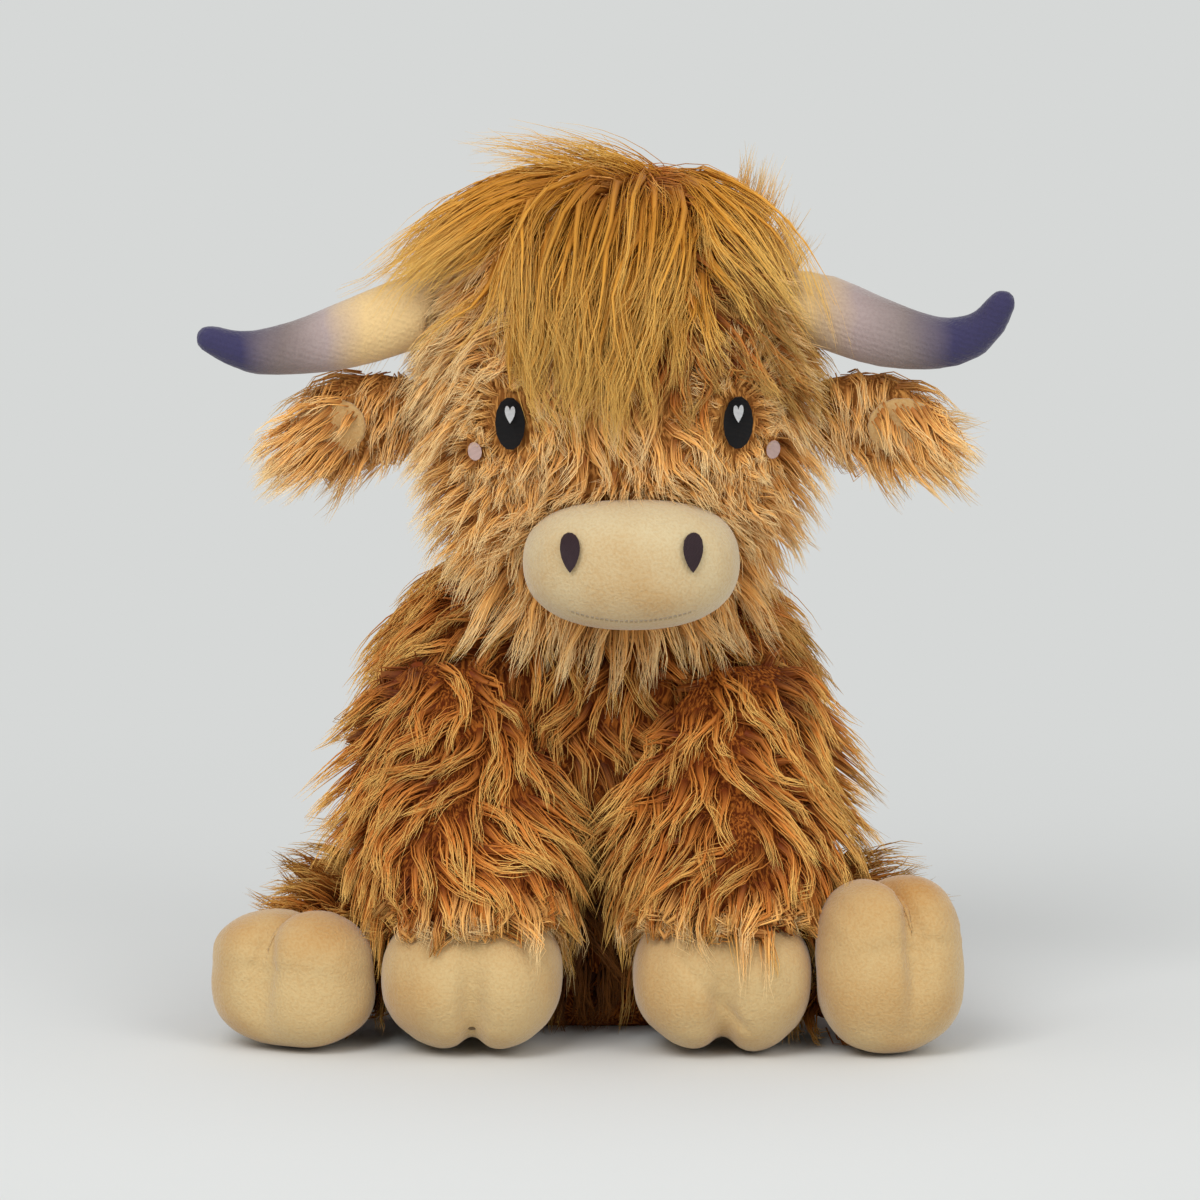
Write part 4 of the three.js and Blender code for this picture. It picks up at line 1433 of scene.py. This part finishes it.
class COW_OT_hind_legs(bpy.types.Operator):
    """Hind legs in long pile"""

    bl_idname = "cow.hind_legs"
    bl_label = "Hind legs"

    def execute(self, context):
        style = Style(
            length=sizes().body_length * 0.85, width=sizes().strand_width, spacing=5.4 * MM,
            girth=4.4 * MM, strands=13, points=5, gather=0.92, lift=52, settle=34, droop=0.15,
        )
        for count, (side, sign) in enumerate(SIDES):
            across, ahead = (0.9, -0.5) if sign > 0 else (-0.75, -0.8)

            def comb(spot, out):
                return Vector((across, ahead, -0.3 + 0.4 * max(0, out.z)))

            dressed_leg(f"hind_leg_{side}", f"hind_hoof_{side}", style, comb, 0, 60 + count)
        return {"FINISHED"}


class COW_OT_hooves(bpy.types.Operator):
    """Cloven feet in short cream pile"""

    bl_idname = "cow.hooves"
    bl_label = "Hooves"

    def execute(self, context):
        for leg, rise in (("front", 0.5 * MM), ("hind", 5 * MM)):
            for side, _ in SIDES:
                node = f"{leg}_hoof_{side}"

                def shape(spot, normal):
                    swell = rise * eased(normal.z, 0.1, 0.9) + 1.4 * MM * noise.noise(spot / (22 * MM))
                    if node == "front_hoof_right" and normal.y < 0:
                        off = ((spot.x - 30 * MM) * 0.75 + (spot.z - 33 * MM) * 0.66) / (1.8 * MM)
                        swell -= 0.9 * MM * math.exp(-(off**2)) * eased(spot.z, 6 * MM, 14 * MM)
                    return swell

                hoof = stuffed_copy(f"{node}_cloth", node, 1.4 * MM, 0.3 * MM, 34, shape)
                dressed(hoof, cream_finish(), f"{leg}_leg_{side}", 0.8, node)
        self.tack()
        return {"FINISHED"}

    def tack(self):
        """A small dark dot at the bottom of the cleft of the left front foot."""
        hoof = Coat.tree_of(bpy.data.objects["front_hoof_left_cloth"])
        start = Vector((middle_of("front_hoof_left").x, -0.2, 11.5 * MM))
        spot, _, _, _ = hoof.ray_cast(start, Vector((0, 1, 0)))
        form = bmesh.new()
        bmesh.ops.create_icosphere(form, subdivisions=3, radius=1)
        for corner in form.verts:
            corner.co = spot + Vector((corner.co.x * 1.7, corner.co.y * 0.5, corner.co.z * 0.8)) * MM
        stitch = from_bmesh("front_hoof_left_tack", form)
        stitch.data.materials.append(satin_stitch("Tack thread", scaled(colours().cream_shadow, 0.35)))
        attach(stitch, "front_leg_left")


class COW_OT_tail(bpy.types.Operator):
    """Tail in short locks, with its long tuft"""

    bl_idname = "cow.tail"
    bl_label = "Tail"

    def execute(self, context):
        torso = tree_of("torso_cover")
        tail = stuffed_copy("tail_cloth", "tail", 1.6 * MM, 1.5 * MM, 4)
        dressed(tail, shaded_ground_finish("body"), "tail", 0.6, "tail")
        short = Style(
            length=17 * MM, width=0.6 * MM, spacing=3 * MM, girth=2.6 * MM, lift=20, scatter=14,
            cling=0.3,
        )

        def growth(spot, normal):
            return 0 if inside(torso, spot) else 1

        backwards = always((0, 0.9, -0.7))
        coat_piece("tail_pile", "tail", "body", short, 70, Coat(tail), backwards, growth)
        tuft = stuffed_copy("tail_tuft_cloth", "tail_tuft", 2 * MM, 3.5 * MM, 4)
        dressed(tuft, shaded_ground_finish("gold"), "tail", 0.5, "tail_tuft")
        long = Style(
            length=30 * MM, width=0.8 * MM, spacing=4 * MM, girth=3 * MM, strands=16, lift=20, settle=0,
            scatter=14, droop=0.5,
        )

        def off_floor(spot, normal):
            return 1 if spot.z > 30 * MM else 0

        down = always((0, 0.05, -1))
        coat_piece("tail_tuft_pile", "tail", "gold", long, 71, Coat(tuft), down, off_floor)
        return {"FINISHED"}


class COW_OT_inside(bpy.types.Operator):
    """Fillings, pellet bag and seat panel"""

    bl_idname = "cow.inside"
    bl_label = "Inside"

    def execute(self, context):
        white = tuple(colours().fibre)
        paint(cloth_finish("Fibre", white, scaled(white, 0.8)), "torso_filling", "head_filling")
        paint(cloth_finish("Pellet bag", scaled(white, 0.7), scaled(white, 0.5)), "bean_bag")
        paint(shaded_ground_finish("body"), "seat_panel")
        return {"FINISHED"}


def seen_straight(board):
    """1 where a camera, glossy or transmission ray sees the surface, and 0 for the rays that light it."""
    path = board.node("ShaderNodeLightPath")
    seen = board.maths("MAXIMUM", path.of("Is Camera Ray"), path.of("Is Glossy Ray"))
    return board.maths("MAXIMUM", seen, path.of("Is Transmission Ray"))


class COW_OT_stage(bpy.types.Operator):
    """Pale floor that runs into the background, soft light, and the camera at the photograph's angle"""

    bl_idname = "cow.stage"
    bl_label = "Stage"

    def execute(self, context):
        scene = context.scene
        pale = tuple(colours().floor)
        self.lay_floor(pale)
        self.light(scene, pale)
        self.place_camera(scene)
        scene.view_settings.view_transform = "Standard"
        return {"FINISHED"}

    def lay_floor(self, pale):
        """Lit round the toy, where it takes the shadow, and as pale as the background further out."""
        form = bmesh.new()
        bmesh.ops.create_circle(form, cap_ends=True, segments=96, radius=2.6)
        mesh = bpy.data.meshes.new("floor")
        form.to_mesh(mesh)
        form.free()
        floor = new_piece("floor", mesh)
        material = bpy.data.materials.new("Pale floor")
        board = bare_board(material)
        x, y, _ = board.parts_of(board.place())
        far = board.eased(board.maths("SQRT", x * x + y * y), 0.22, 0.75)
        lit = board.node("ShaderNodeBsdfDiffuse", None, {"Color": opaque(pale)})
        even = board.node("ShaderNodeEmission", None, {"Color": opaque(pale)})
        mixed = board.node("ShaderNodeMixShader", None, {0: far * seen_straight(board), 1: lit, 2: even})
        board.node("ShaderNodeOutputMaterial", None, {"Surface": mixed})
        floor.data.materials.append(material)

    def light(self, scene, pale):
        own = scene.cow_stage
        scene.world = bpy.data.worlds.new("Studio")
        board = bare_board(scene.world)
        glow = board.node("ShaderNodeBackground", None, {"Color": (1, 1, 1, 1), "Strength": own.sky})
        wall = board.node("ShaderNodeBackground", None, {"Color": opaque(pale), "Strength": 1.0})
        mixed = board.node("ShaderNodeMixShader", None, {0: seen_straight(board), 1: glow, 2: wall})
        board.node("ShaderNodeOutputWorld", None, {"Surface": mixed})
        for place, power, size in (((-1.1, -2.4, 2.3), own.key, 1.7), ((1.5, -2.2, 1.5), own.fill, 1.5)):
            lamp = bpy.data.lights.new("Soft box", "AREA")
            lamp.energy, lamp.size = power, size
            holder = new_piece("Soft box", lamp)
            holder.location = place
            aim = UP * 0.15 - holder.location
            holder.rotation_euler = aim.to_track_quat("-Z", "Y").to_euler()

    def place_camera(self, scene):
        own = scene.cow_stage
        lens = bpy.data.cameras.new("Camera")
        lens.lens, lens.sensor_width = own.lens, 36
        camera = new_piece("Camera", lens)
        back = Vector((0, -math.cos(own.tilt), math.sin(own.tilt)))
        target = Vector((-1.98 * MM, 0, 150.2 * MM))
        camera.location = target + back * own.distance
        camera.rotation_euler = (-back).to_track_quat("-Z", "Y").to_euler()
        scene.camera = camera


PIECES = (
    COW_OT_torso,
    COW_OT_head,
    COW_OT_forelock,
    COW_OT_ears,
    COW_OT_horns,
    COW_OT_muzzle,
    COW_OT_face,
    COW_OT_front_legs,
    COW_OT_hind_legs,
    COW_OT_hooves,
    COW_OT_tail,
    COW_OT_inside,
    COW_OT_stage,
)
GROUPS = {"cow_colours": CowColours, "cow_sizes": CowSizes, "cow_stage": CowStage}


class COW_PT_panel(bpy.types.Panel):
    """The toy's sizes, colours and pieces"""

    bl_label = "Plush cow"
    bl_idname = "COW_PT_panel"
    bl_space_type = "VIEW_3D"
    bl_region_type = "UI"
    bl_category = "Plush cow"

    def draw(self, context):
        for label, kind in GROUPS.items():
            group, box = getattr(context.scene, label), self.layout.box()
            for name in kind.__annotations__:
                box.prop(group, name)
        for piece in PIECES:
            self.layout.operator(piece.bl_idname)


def register():
    for made in (*GROUPS.values(), *PIECES, COW_PT_panel):
        bpy.utils.register_class(made)
    for name, group in GROUPS.items():
        setattr(bpy.types.Scene, name, bpy.props.PointerProperty(type=group))


def unregister():
    for name in GROUPS:
        delattr(bpy.types.Scene, name)
    for made in (COW_PT_panel, *reversed(PIECES), *reversed(GROUPS.values())):
        bpy.utils.unregister_class(made)


def main():
    register()
    for piece in PIECES:
        getattr(bpy.ops.cow, piece.bl_idname.split(".")[1])()


if __name__ == "__main__":
    main()
